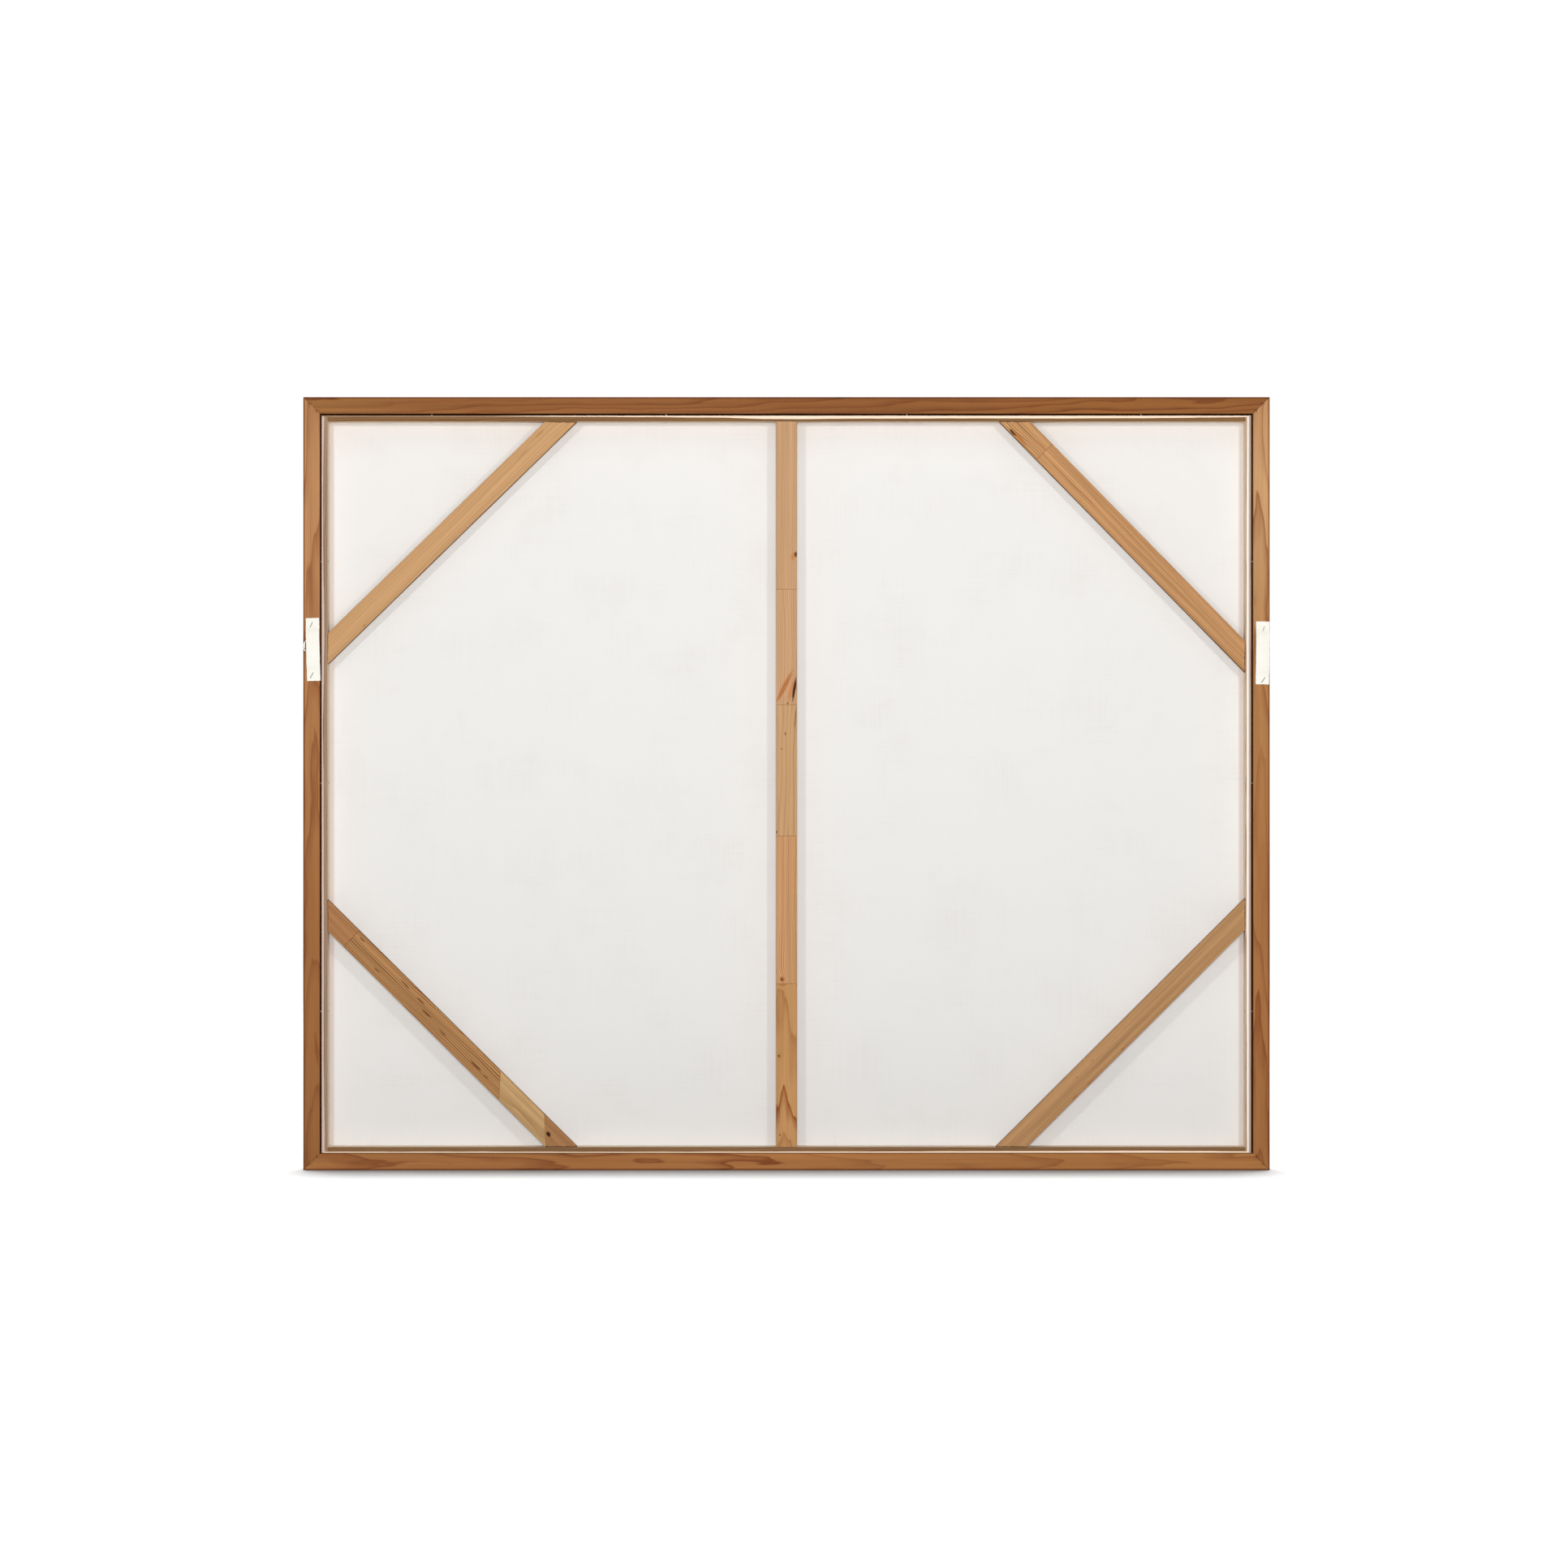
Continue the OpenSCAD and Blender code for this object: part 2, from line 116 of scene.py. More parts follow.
# Pine, sawn and planed: pale early wood and darker late wood in rings, crossed by fine fibre streaks.
# The rings are cut from a tapering log round a pith line, so a flat-sawn face shows arches by itself.
def pine(name, late, tones=None, marks=(), rough=(0.6, 0.75), fibre=0.16, shine=0.05):
    """tones gives the base colours along a piece, from one place to another in mm, and not its own tint.
    Each mark is (along, across, length, width in mm, tilt, colour, strength, rings pushed aside in mm)."""
    material, tree = blank(name)
    grain, pith, rings = [
        put(tree, "Attribute", attribute_name=layer).outputs["Vector"] for layer in ("grain", "pith", "rings")
    ]
    glue_and_edge_shade = put(tree, "Attribute", attribute_name="glue_and_edge_shade").outputs["Fac"]
    taper, spacing, contrast = put(tree, "SeparateXYZ", {0: rings}).outputs
    # Each board comes from another place along its log
    shift = put(tree, "CombineXYZ", {0: put(tree, "SeparateXYZ", {0: pith})})
    place = put(tree, "VectorMath", {0: grain, 1: shift}, operation="ADD")
    # The rings wander by a few millimetres over a hand's length
    slow = put(tree, "VectorMath", {0: place, 1: (5.0, 32.0, 32.0)}, operation="MULTIPLY")
    wander = put(tree, "TexNoise", {"Vector": slow, "Scale": 1.0, "Detail": 2.5, "Roughness": 0.5})
    wander = put(tree, "MapRange", {0: wander, 3: -6 * MM, 4: 6 * MM})
    off_pith = put(tree, "VectorMath", {0: grain, 1: pith}, operation="SUBTRACT")
    off_pith = put(tree, "VectorMath", {0: off_pith, 1: (0, 1, 1)}, operation="MULTIPLY")
    radius = put(tree, "VectorMath", {0: off_pith}, operation="LENGTH").outputs["Value"]
    radius = put(tree, "Math", {0: radius, 1: wander}, operation="ADD")
    lengthwise = put(tree, "SeparateXYZ", {0: place})
    growth = put(tree, "Math", {0: lengthwise, 1: taper, 2: radius}, operation="MULTIPLY_ADD")
    # The edges of a mark are ragged along the grain
    drift = put(tree, "TexNoise", {"Vector": grain, "Scale": 220.0, "Detail": 2.0}).outputs["Color"]
    drift = put(tree, "VectorMath", {0: drift, 1: (0.5, 0.5, 0.5)}, operation="SUBTRACT")
    drift = put(tree, "VectorMath", {0: drift, 1: (4 * MM, 1.6 * MM, 0)}, operation="MULTIPLY")
    marked = put(tree, "VectorMath", {0: grain, 1: drift}, operation="ADD")
    spots = []
    for along, across, length, width, tilt, shade, strength, push in marks:
        laid = {0: marked, 1: (along * MM, across * MM, 0), 2: (0, 0, math.radians(tilt)),
                3: (length / 2 * MM, width / 2 * MM, 1000)}
        spot = put(tree, "Mapping", laid, vector_type="TEXTURE")
        away = put(tree, "VectorMath", {0: spot}, operation="LENGTH").outputs["Value"]
        if push:
            bulge = {0: away, 1: 0.0, 2: 4.5, 3: push * MM, 4: 0.0}
            bulge = put(tree, "MapRange", bulge, interpolation_type="SMOOTHSTEP")
            growth = put(tree, "Math", {0: growth, 1: bulge}, operation="ADD")
        inside = {0: away, 1: 0.55, 2: 1.25, 3: strength, 4: 0.0}
        spots.append((put(tree, "MapRange", inside, interpolation_type="SMOOTHSTEP"), shade))
    growth = put(tree, "Math", {0: growth, 1: spacing}, operation="DIVIDE")
    phase = put(tree, "Math", {0: growth}, operation="FRACT")
    profile = put(tree, "ValToRGB", {0: phase}, stops=GROWTH_RING)
    # Some years have a stronger ring than others
    year = put(tree, "Math", {0: growth}, operation="FLOOR")
    year = put(tree, "TexWhiteNoise", {"W": year}, noise_dimensions="1D").outputs["Value"]
    year = put(tree, "MapRange", {0: year, 3: 0.35, 4: 1.0})
    late_wood = put(tree, "Math", {0: profile, 1: year}, operation="MULTIPLY")
    late_wood = put(tree, "Math", {0: late_wood, 1: contrast}, operation="MULTIPLY")
    # Fibres, real ones being finer than the drawn ones so that the streaks show from a few steps away
    thin = put(tree, "VectorMath", {0: place, 1: (9.0, 620.0, 620.0)}, operation="MULTIPLY")
    thin = put(tree, "TexNoise", {"Vector": thin, "Scale": 1.0, "Detail": 3.0, "Roughness": 0.62})
    broad = put(tree, "VectorMath", {0: place, 1: (2.2, 120.0, 120.0)}, operation="MULTIPLY")
    broad = put(tree, "TexNoise", {"Vector": broad, "Scale": 1.0, "Detail": 2.0})
    streaks = put(tree, "Math", {0: thin, 1: broad}, operation="ADD")
    streaks = put(tree, "MapRange", {0: streaks, 1: 0.65, 2: 1.35, 3: 1.0 - fibre, 4: 1.0 + fibre * 0.6})
    if tones:
        first, last, stops = tones
        blotch = put(tree, "VectorMath", {0: place, 1: (3.0, 90.0, 60.0)}, operation="MULTIPLY")
        blotch = put(tree, "TexNoise", {"Vector": blotch, "Scale": 1.0, "Detail": 2.0})
        run = put(tree, "MapRange", {0: put(tree, "SeparateXYZ", {0: grain}), 1: first * MM, 2: last * MM})
        run = put(tree, "Math", {0: blotch, 1: 0.06, 2: run}, operation="MULTIPLY_ADD")
        run = put(tree, "Math", {0: run, 1: 0.03}, operation="SUBTRACT")
        base = put(tree, "ValToRGB", {0: run}, stops=stops).outputs[0]
    else:
        base = put(tree, "Attribute", attribute_name="tint").outputs["Color"]
    dark = put(tree, "Mix", {0: 1.0, 6: base, 7: linear(late)}, **TINTED).outputs[2]
    colour = put(tree, "Mix", {0: late_wood, 6: base, 7: dark}, data_type="RGBA").outputs[2]
    shade = put(tree, "CombineColor", {0: streaks, 1: streaks, 2: streaks})
    colour = put(tree, "Mix", {0: 1.0, 6: colour, 7: shade}, **TINTED).outputs[2]
    for inside, shade in spots:
        colour = put(tree, "Mix", {0: inside, 6: colour, 7: linear(shade)}, data_type="RGBA").outputs[2]
    # Glue lines, and painted shade along the frame's outer back edge
    glue_and_shade_tone = put(tree, "Mix", {0: 1.0, 6: colour, 7: linear("#a8886c")}, **TINTED).outputs[2]
    colour = put(tree, "Mix", {0: glue_and_edge_shade, 6: colour, 7: glue_and_shade_tone}, data_type="RGBA").outputs[2]
    height = put(tree, "Math", {0: late_wood, 1: 0.4, 2: thin}, operation="MULTIPLY_ADD")
    finish = {
        "Base Color": colour,
        "Roughness": put(tree, "MapRange", {0: thin, 1: 0.3, 2: 0.7, 3: rough[0], 4: rough[1]}),
        "Normal": put(tree, "Bump", {"Strength": 0.35, "Distance": 0.25 * MM, "Height": height}),
        "Specular IOR Level": shine,
    }
    put(tree, "OutputMaterial", {0: put(tree, "BsdfPrincipled", finish)})
    return material


def eased_section(width, back, front, ease, levels=0):
    """Points round a stick's section as (across, deep), down one long side and up the other."""
    half, near = width / 2, ease * 0.3
    side = [(half - ease, back), (half - near, back + near), (half, back + ease)]
    side += [(half, back + (front - back) * i / levels) for i in range(1, levels)]
    side += [(half, front - ease), (half - near, front - near), (half - ease, front)]
    return side + [(-across, deep) for across, deep in reversed(side)]


# What each point of a piece of wood carries: its place in the board, the board's pith and rings, its colour,
# painted shade included on some faces, and how far glue lines and painted shade along the frame's outer back
# edge have darkened it
WOOD_LAYERS = {
    "grain": "float_vector", "pith": "float_vector", "rings": "float_vector",
    "tint": "float_color", "glue_and_edge_shade": "float",
}


def wood_loop(bm, section, alongs, place, pith, rings, tints, seams):
    """Adds one ring of points round the section, each this far along."""
    layers = []
    for name, kind in WOOD_LAYERS.items():
        of_kind = getattr(bm.verts.layers, kind)
        layers.append(of_kind.get(name) or of_kind.new(name))
    loop = []
    for (across, deep), along, tint, glue_and_edge_shade in zip(section, alongs, tints, seams):
        vert = bm.verts.new(place(along, across, deep))
        for layer, value in zip(layers, ((along, across, deep), pith, rings, linear(tint), glue_and_edge_shade)):
            vert[layer] = value
        loop.append(vert)
    return loop


def join_loops(bm, loops):
    """Closes the skin between each loop of points and the next. A loop may be a single point."""
    for low, high in zip(loops, loops[1:]):
        count = max(len(low), len(high))
        for i in range(count):
            j = (i + 1) % count
            corners = (low[i % len(low)], low[j % len(low)], high[j % len(high)], high[i % len(high)])
            bm.faces.new(list(dict.fromkeys(corners)))


def add_length(bm, section, ends, place, pith, rings, tint, seams=(False, False), steps=12):
    """Adds one closed length of wood. ends gives how far along each point of the section starts and stops,
    and seams says whether it is glued to another there."""
    line = 0.3 * MM
    middle = [(i / steps, 2 * line * (1 - 2 * i / steps)) for i in range(steps + 1)]
    stations = [(0, 0.0), (0, line)][: 1 + seams[0]] + middle[not seams[0] : steps + seams[1]]
    stations += [(1, -line), (1, 0.0)][1 - seams[1] :]
    tints = [tint] * len(section) if isinstance(tint, str) else tint
    loops = []
    for number, (share, shift) in enumerate(stations):
        glued = (seams[0] and number < 2) or (seams[1] and number > len(stations) - 3)
        alongs = [start + (stop - start) * share + shift for start, stop in ends]
        darkened = [0.6 if glued else 0.0] * len(section)
        loops.append(wood_loop(bm, section, alongs, place, pith, rings, tints, darkened))
    join_loops(bm, loops)
    for loop in (loops[0], loops[-1]):
        for i in range(len(loop) // 2 - 1):
            bm.faces.new((loop[i], loop[i + 1], loop[-2 - i], loop[-1 - i]))


def finished(bm, name, angle=40):
    """Turns the faces outwards and gives the mesh, smooth except across edges sharper than the angle."""
    bmesh.ops.recalc_face_normals(bm, faces=bm.faces)
    mesh = bpy.data.meshes.new(name)
    bm.to_mesh(mesh)
    bm.free()
    mesh.shade_smooth()
    mesh.set_sharp_from_angle(angle=math.radians(angle))
    return mesh


strip_wood = pine("raw_planed_pine_strip", late="#b98a62")
# The back edges are painted brown as painted shade in the recess under the frame, darker on the top and
# bottom strips, and the inner faces are painted pale: pale pine with painted light
shaded_back_edge = {"top": "#83623f", "bottom": "#846444", "left": "#9d836c", "right": "#b59a80"}
lit_pale_face = "#f2e2cd"
for edge, brown in shaded_back_edge.items():
    name = "strainer_rail_" + edge
    low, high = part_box(name)
    if edge in ("top", "bottom"):
        thick, middle, run = high.z - low.z, (low.z + high.z) / 2, (low.x, high.x)
        place = lambda along, across, deep: (along, deep, middle + across)
    else:
        thick, middle, run = high.x - low.x, (low.x + high.x) / 2, (low.z, high.z)
        place = lambda along, across, deep: (middle + across, deep, along)
    section = eased_section(thick, low.y, high.y, 0.7 * MM, levels=6)
    inner_side = 1 if edge in ("left", "bottom") else -1
    tints = [lit_pale_face if across * inner_side > thick / 2 - 0.1 * MM else brown for across, deep in section]
    seed = sum(map(ord, name))
    pith = (seed * 0.13, 0.05 + 0.01 * (seed % 3), 0.035)
    wood = bmesh.new()
    add_length(wood, section, [run] * len(section), place, pith, (0.012, 2.6 * MM, 0.9), tints)
    fit("strip_" + edge, finished(wood, name), strip_wood, "raw_pine_strip", name)

# ---- Centre brace ----
# A pine upright butted between the level strips, glued up from five short lengths with finger joints.
# The joints show as straight lines on its back and as zigzags on its sides. Raw and planed.
low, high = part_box("center_brace")
upright_wood = pine("raw_finger_jointed_pine", late="#b98457", marks=[
    (971, 14.5, 9, 6, 0, "#4a2a16", 0.95, 2.0), (968, 10.5, 14, 8, 10, "#b8702f", 0.5, 0),
    (762, -3.5, 58, 7.5, 27, "#a55f2b", 0.8, 0), (756, 7.5, 40, 7, 14, "#b8713a", 0.6, 2.0),
    (758.5, 12.4, 40, 4.5, 9, "#3a1d0e", 0.97, 0), (736.5, 2, 3, 2.5, 0, "#4b2c19", 0.9, 0),
    (688.5, -2, 4.5, 2, 0, "#4b2c19", 0.9, 0), (664, -8, 3, 2.2, 0, "#5b3620", 0.8, 0),
    (713, 14, 40, 2.0, 4, "#6b4024", 0.75, 0), (533, -15.5, 5, 3, 0, "#3b2112", 0.9, 0),
    (301, -7, 9, 8, 0, "#96552e", 0.8, 5.0), (301, -7, 4, 3.5, 0, "#5c3018", 0.85, 0),
    (180, -12, 4, 3, 0, "#24130a", 0.95, 1.0), (55, -10, 3, 2.2, 0, "#4b2c19", 0.85, 0),
])
FINGER = 4 * MM
FINGERS = 8


def finger_zigzag(section, back, front):
    """How far a finger joint strays at each point of a section: to and fro down its sides."""
    steps = [(deep - back) / (front - back) * FINGERS for across, deep in section]
    return [FINGER if 0.6 < step < FINGERS - 0.6 and round(step) % 2 else -FINGER for step in steps]


section = eased_section(high.x - low.x, low.y, high.y, 0.6 * MM, levels=FINGERS)
zigzag = finger_zigzag(section, low.y, high.y)
middle = (low.x + high.x) / 2
joints = [920 * MM, 738 * MM, 531 * MM, 298 * MM]
# Each length from the top down: pith, rings (taper, spacing, contrast) and colour
lengths = [
    ((3.1, 0.10, 0.02), (0.010, 2.2 * MM, 0.55), "#be9771"),
    ((7.7, -0.09, 0.03), (0.010, 2.6 * MM, 0.65), "#c09872"),
    ((2.3, 0.05, 0.05), (0.016, 4.2 * MM, 0.45), "#b9936a"),
    ((5.9, 0.12, 0.02), (0.004, 2.7 * MM, 1.0), "#c09368"),
    ((9.4, -0.004, 0.045), (0.030, 3.4 * MM, 1.15), "#b88958"),
]
wood = bmesh.new()
place = lambda along, across, deep: (middle + across, deep, along)
for number, (pith, rings, tint) in enumerate(lengths):
    top, bottom = ([high.z] + joints)[number], (joints + [low.z])[number]
    glued = (number < 4, number > 0)
    ends = [(bottom + zig * glued[0], top + zig * glued[1]) for zig in zigzag]
    add_length(wood, section, ends, place, pith, rings, tint, seams=glued, steps=10)
fit("centre_upright", finished(wood, "centre_upright"), upright_wood, "raw_pine_brace", "center_brace")

# ---- Corner braces ----
# Four pine sticks nailed across the corners at about 45 degrees, flush with the strainer's back edge.
# Their ends are cut to lie flat against the strips. Some are glued up from shorter lengths.
inner_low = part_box("strainer_rail_bottom")[1].z
inner_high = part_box("strainer_rail_top")[0].z
inner_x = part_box("strainer_rail_right")[0].x
brace_width = 35 * MM
# Its side and height, how strong its fibres are, its lengths from the level strip (colour, pith, rings, and
# where it ends in mm, at the near and the far edge if the cut slants), and its marks
corner_braces = {
    "top_left": (-1, 1, 0.14, [("#bf9569", (1.7, 0.09, 0.05), (0.008, 4.0 * MM, 0.35), None)], [
        (20, 7.7, 20, 4, 0, "#a5703f", 0.5, 0), (61, 12.4, 26, 3, 0, "#a5703f", 0.5, 0),
        (429, 31.8, 6, 2, 0, "#8a5a33", 0.7, 0),
    ]),
    "top_right": (1, 1, 0.34, [
        ("#c19465", (4.3, 0.07, 0.03), (0.006, 2.6 * MM, 1.5), (53.4, 53.4)),
        ("#c19365", (8.8, 0.11, 0.02), (0.006, 2.4 * MM, 1.5), None),
    ], [
        (-7, 32.0, 17, 4.5, 2, "#48230f", 0.95, 1.5), (8, 30.5, 34, 6, 3, "#a2591f", 0.6, 0),
        (38, 13.8, 22, 3, 0, "#ad6c36", 0.6, 0), (175, 12.4, 60, 2.4, 0, "#b07a44", 0.6, 0),
        (233, 11.8, 50, 2.2, 0, "#b07a44", 0.55, 0),
    ]),
    "bottom_left": (-1, -1, 0.34, [
        ("#a77a51", (0.4, 0.08, 0.02), (0.010, 2.6 * MM, 1.1), (3, 42)),
        ("#be996a", (6.2, 0.02, 0.06), (0.012, 5.0 * MM, 0.5), (108, 139)),
        ("#aa8054", (2.9, -0.06, 0.03), (0.018, 2.8 * MM, 1.8), (453, 453)),
        ("#a7784f", (5.5, 0.10, 0.02), (0.008, 2.4 * MM, 0.9), None),
    ], [
        (11, 17.4, 10, 6, 20, "#22120a", 0.97, 2.0), (436, 28.7, 12, 2.4, 4, "#5a3319", 0.85, 0),
        (385, 10.9, 14, 2.4, -4, "#6b3f20", 0.8, 0), (338, 26.1, 22, 2.6, 3, "#5a3319", 0.85, 0),
        (302, 24.8, 18, 2.4, 0, "#64391c", 0.85, 0), (281, 17.0, 20, 2.6, -3, "#5a3319", 0.85, 0),
        (243, 13.6, 18, 2.4, 2, "#64391c", 0.8, 0), (168, 13.3, 26, 3.0, 0, "#5a3319", 0.85, 0),
        (145, 12.1, 12, 2.4, 0, "#64391c", 0.8, 0),
    ]),
    "bottom_right": (1, -1, 0.26, [("#b0875d", (3.3, 0.12, 0.03), (0.004, 2.4 * MM, 0.8), None)], [
        (142.6, 2, 16, 4, 0, "#9c6234", 0.6, 0), (108.6, 2.5, 14, 4, 0, "#9c6234", 0.6, 0),
        (216, 3, 8, 2, 0, "#7d5130", 0.6, 0), (132.7, 22.4, 5, 2, 0, "#7d5130", 0.6, 0),
        (168.9, 23.6, 5, 2, 0, "#7d5130", 0.6, 0),
    ]),
}
for where, (side, up, fibre, pieces, marks) in corner_braces.items():
    name = "corner_brace_" + where
    low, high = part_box(name)
    corner = Vector((side * inner_x, 0, inner_high if up > 0 else inner_low))
    # The near edge meets the strips this far from the corner, and the far edge at the box's far sides
    far_level, far_upright = high.x - low.x, high.z - low.z
    near_level, near_upright = far_level, far_upright
    for _ in range(30):
        slack = brace_width * math.hypot(1 / near_level, 1 / near_upright)
        near_level, near_upright = far_level / (1 + slack), far_upright / (1 + slack)
    near_start = corner - Vector((side * near_level, 0, 0))
    near_stop = corner - Vector((0, 0, up * near_upright))
    length = (near_stop - near_start).length
    forward = (near_stop - near_start) / length
    inward = Vector((-side * near_upright, 0, -up * near_level)) / length
    section = eased_section(brace_width, low.y, high.y, 0.6 * MM, levels=FINGERS)
    section = [(across + brace_width / 2, deep) for across, deep in section]
    zigzag = finger_zigzag(section, low.y, high.y)
    place = lambda along, across, deep: near_start + forward * along + inward * across + Vector((0, deep, 0))
    # A dark line is painted where each end is butted: painted shade in the joint
    half = brace_width / 2 / MM
    butt_shade = (66, 2.8), ("#4f321b", 0.8, 0)
    marks = marks + [
        (-half, half, *butt_shade[0], 135, *butt_shade[1]),
        (length / MM + half, half, *butt_shade[0], 45, *butt_shade[1]),
    ]
    wood = bmesh.new()
    start = [-near_level / near_upright * across for across, deep in section]
    for number, (tint, pith, rings, joint) in enumerate(pieces):
        if up > 0:
            # The upper braces' lower sides are painted darker: painted shade on the faces that look down
            tint = ["#7a5837" if across > brace_width - 0.1 * MM else tint for across, deep in section]
        if joint:
            cut = [joint[0] + (joint[1] - joint[0]) * across / brace_width for across, deep in section]
            stop = [along * MM + zig for along, zig in zip(cut, zigzag)]
        else:
            stop = [length + near_upright / near_level * across for across, deep in section]
        glued = (number > 0, joint is not None)
        add_length(wood, section, list(zip(start, stop)), place, pith, rings, tint, seams=glued, steps=10)
        start = stop
    wood_finish = pine("raw_planed_pine_brace_" + where, late="#b98a5f", marks=marks, fibre=fibre)
    fit("brace_" + where, finished(wood, name), wood_finish, "raw_pine_brace", name)

# ---- Canvas ----
# One primed cloth stretched over the front, down the sides and just over the strips' back edges,
# where it was trimmed by hand: the cut runs wavy and shows a few threads. Stapled through the sides.
CLOTH = 0.6 * MM
MITRE = 12 * MM
cloth_low, cloth_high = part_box("canvas")


def between(stops, place):
    """The value at a place along (place, value) stops."""
    if place <= stops[0][0]:
        return stops[0][1]
    for (low_place, low_value), (high_place, high_value) in zip(stops, stops[1:]):
        if place <= high_place:
            share = (place - low_place) / (high_place - low_place)
            return low_value + (high_value - low_value) * share
    return stops[-1][1]


# How far the cloth reaches over each back edge, in mm, along that edge in mm
turned = {
    "top": [
        (-733, 2.0), (-470, 1.8), (-345, 2.4), (-215, 3.2), (-90, 4.2), (-36, 6.2), (30, 6.4),
        (95, 5.6), (300, 5.2),
        (430, 5.4), (550, 4.9), (620, 4.3), (733, 3.2),
    ],
    "left": [
        (27, 6.0), (90, 5.4), (180, 4.2), (310, 4.6), (500, 4.5), (630, 4.0), (695, 2.9),
        (760, 4.3), (820, 5.0),
        (885, 5.0), (950, 3.8), (1010, 3.4), (1080, 3.5), (1150, 4.4), (1190, 5.2),
    ],
    "right": [(27, 7.6), (160, 7.9), (400, 8.2), (700, 8.0), (1000, 8.2), (1120, 7.8), (1190, 7.2)],
    "bottom": [
        (-733, 2.8), (-480, 2.9), (-250, 2.6), (-60, 3.0), (170, 3.2), (430, 4.0), (560, 4.4),
        (680, 3.8), (733, 3.4),
    ],
}
fold_radius = {"top": 1.6, "left": 1.6, "right": 3.6, "bottom": 1.2}
# How far the last rings of the turned cloth lie back from the cut, in mm, the first being half way to it
TURN_BACK = (None, 0.9, 0.55, 0.0)
# The turned cloth's tints are painted light and shade: painted shade deep in the gap and at the cut, painted
# light round the fold and across the back edge on the top and bottom, painted shade there on the left and
# round the right's fold, and painted light across the right's back edge. Its tint on each side:
# deep in the gap, round the fold, across the back edge, at the cut
painted_light_shade = {
    "top": ("#8f735c", "#ffe9d2", "#ffe6ce", "#8a6a50"),
    "left": ("#8f735c", "#d3bbae", "#d7bfb2", "#7d6354"),
    "right": ("#8f735c", "#beada3", "#fff3e9", "#c9b6a4"),
    "bottom": ("#8f735c", "#ffe4c8", "#ffe4c8", "#8a6a50"),
}
# Towards the top left corner the cloth was cut nearly flush and is painted brown, as painted shade under the
# frame rail
browned_top_left, top_left_shade_brown = [(-470, 0.85), (-350, 0.0)], "#8e6c50"


def painted_light_shade_at(edge, along, step):
    """The painted light and shade of the turned cloth at this step of its way round the strip."""
    if step < 4:
        return (1, 1, 1, 1)
    fold = len(profiles[edge])
    shade = linear(painted_light_shade[edge][0 if step < 7 else 1 if step < fold else 2 if step < fold + 2 else 3])
    brown = between(browned_top_left, along / MM) if edge == "top" else 0.0
    return [c + (b - c) * brown for c, b in zip(shade, linear(top_left_shade_brown))]


def frayed(edge, along):
    """The wobble of the hand-trimmed cut, in mm: slow, then by the thread."""
    seed = {"top": 3.0, "left": 17.0, "right": 31.0, "bottom": 47.0}[edge]
    waves = ((0.35, 22, 0), (0.2, 130, 5), (0.15, 600, 9))
    return sum(depth * noise.noise((along * often, seed, other)) for depth, often, other in waves)


def edge_lines(low_end, high_end, count):
    """Places along one side of the cloth, every 2 mm near the corners and evenly between."""
    corner = 20 * MM
    run = high_end - low_end - 2 * corner
    near = [2 * i * MM for i in range(10)]
    middle = [low_end + corner + run * i / count for i in range(count + 1)]
    return [low_end + step for step in near] + middle + [high_end - step for step in reversed(near)]


def new_cloth():
    """An empty sheet whose points know their place in the weave, their side and their painted light and
    shade.
    """
    sheet = bmesh.new()
    sheet.verts.layers.float_vector.new("weave")
    sheet.verts.layers.float.new("primed")
    sheet.verts.layers.float_color.new("painted_light_shade")
    return sheet


def cloth_point(sheet, place, weave, primed, light_shade_tint):
    vert = sheet.verts.new(place)
    vert[sheet.verts.layers.float_vector["weave"]] = weave
    vert[sheet.verts.layers.float["primed"]] = primed
    vert[sheet.verts.layers.float_color["painted_light_shade"]] = light_shade_tint
    return vert


def thickened(sheet, twin_place, primed):
    """Gives a sheet its other side, with a twin of each point at twin_place, and closes its cut edges."""
    weave, light_shade_tint = sheet.verts.layers.float_vector["weave"], sheet.verts.layers.float_color["painted_light_shade"]
    faces = list(sheet.faces)
    rim = [edge for edge in sheet.edges if len(edge.link_faces) == 1]
    twins = {}
    for vert in list(sheet.verts):
        twins[vert] = cloth_point(sheet, twin_place(vert), tuple(vert[weave]), primed, tuple(vert[light_shade_tint]))
    for face in faces:
        sheet.faces.new([twins[vert] for vert in reversed(face.verts)])
    for edge in rim:
        a, b = edge.verts
        order = list(edge.link_faces[0].verts)
        if order[(order.index(a) + 1) % len(order)] == b:
            a, b = b, a
        sheet.faces.new((a, b, twins[b], twins[a]))


cloth = new_cloth()
across_lines = edge_lines(cloth_low.x, cloth_high.x, 160)
up_lines = edge_lines(cloth_low.z, cloth_high.z, 120)
front = cloth_high.y


def slack(x, z):
    """How far the cloth lies behind flat: ripples near the staples, dying out within a hand's width."""
    from_side = min(x - cloth_low.x, cloth_high.x - x, z - cloth_low.z, cloth_high.z - z)
    free = min(1.0, from_side / (12 * MM))
    pull = math.exp(-from_side / (50 * MM)) * free
    level_sides = abs(z - 610 * MM) > 500 * MM
    ripple = 0.35 * math.cos((x if level_sides else z) * 2 * math.pi / (75 * MM))
    wide = 0.5 * noise.noise((x * 3.1, z * 3.1, 2.0)) * min(1.0, from_side / (80 * MM))
    return -MM * (0.25 + 0.2 * pull * ripple + wide * 0.5) * free


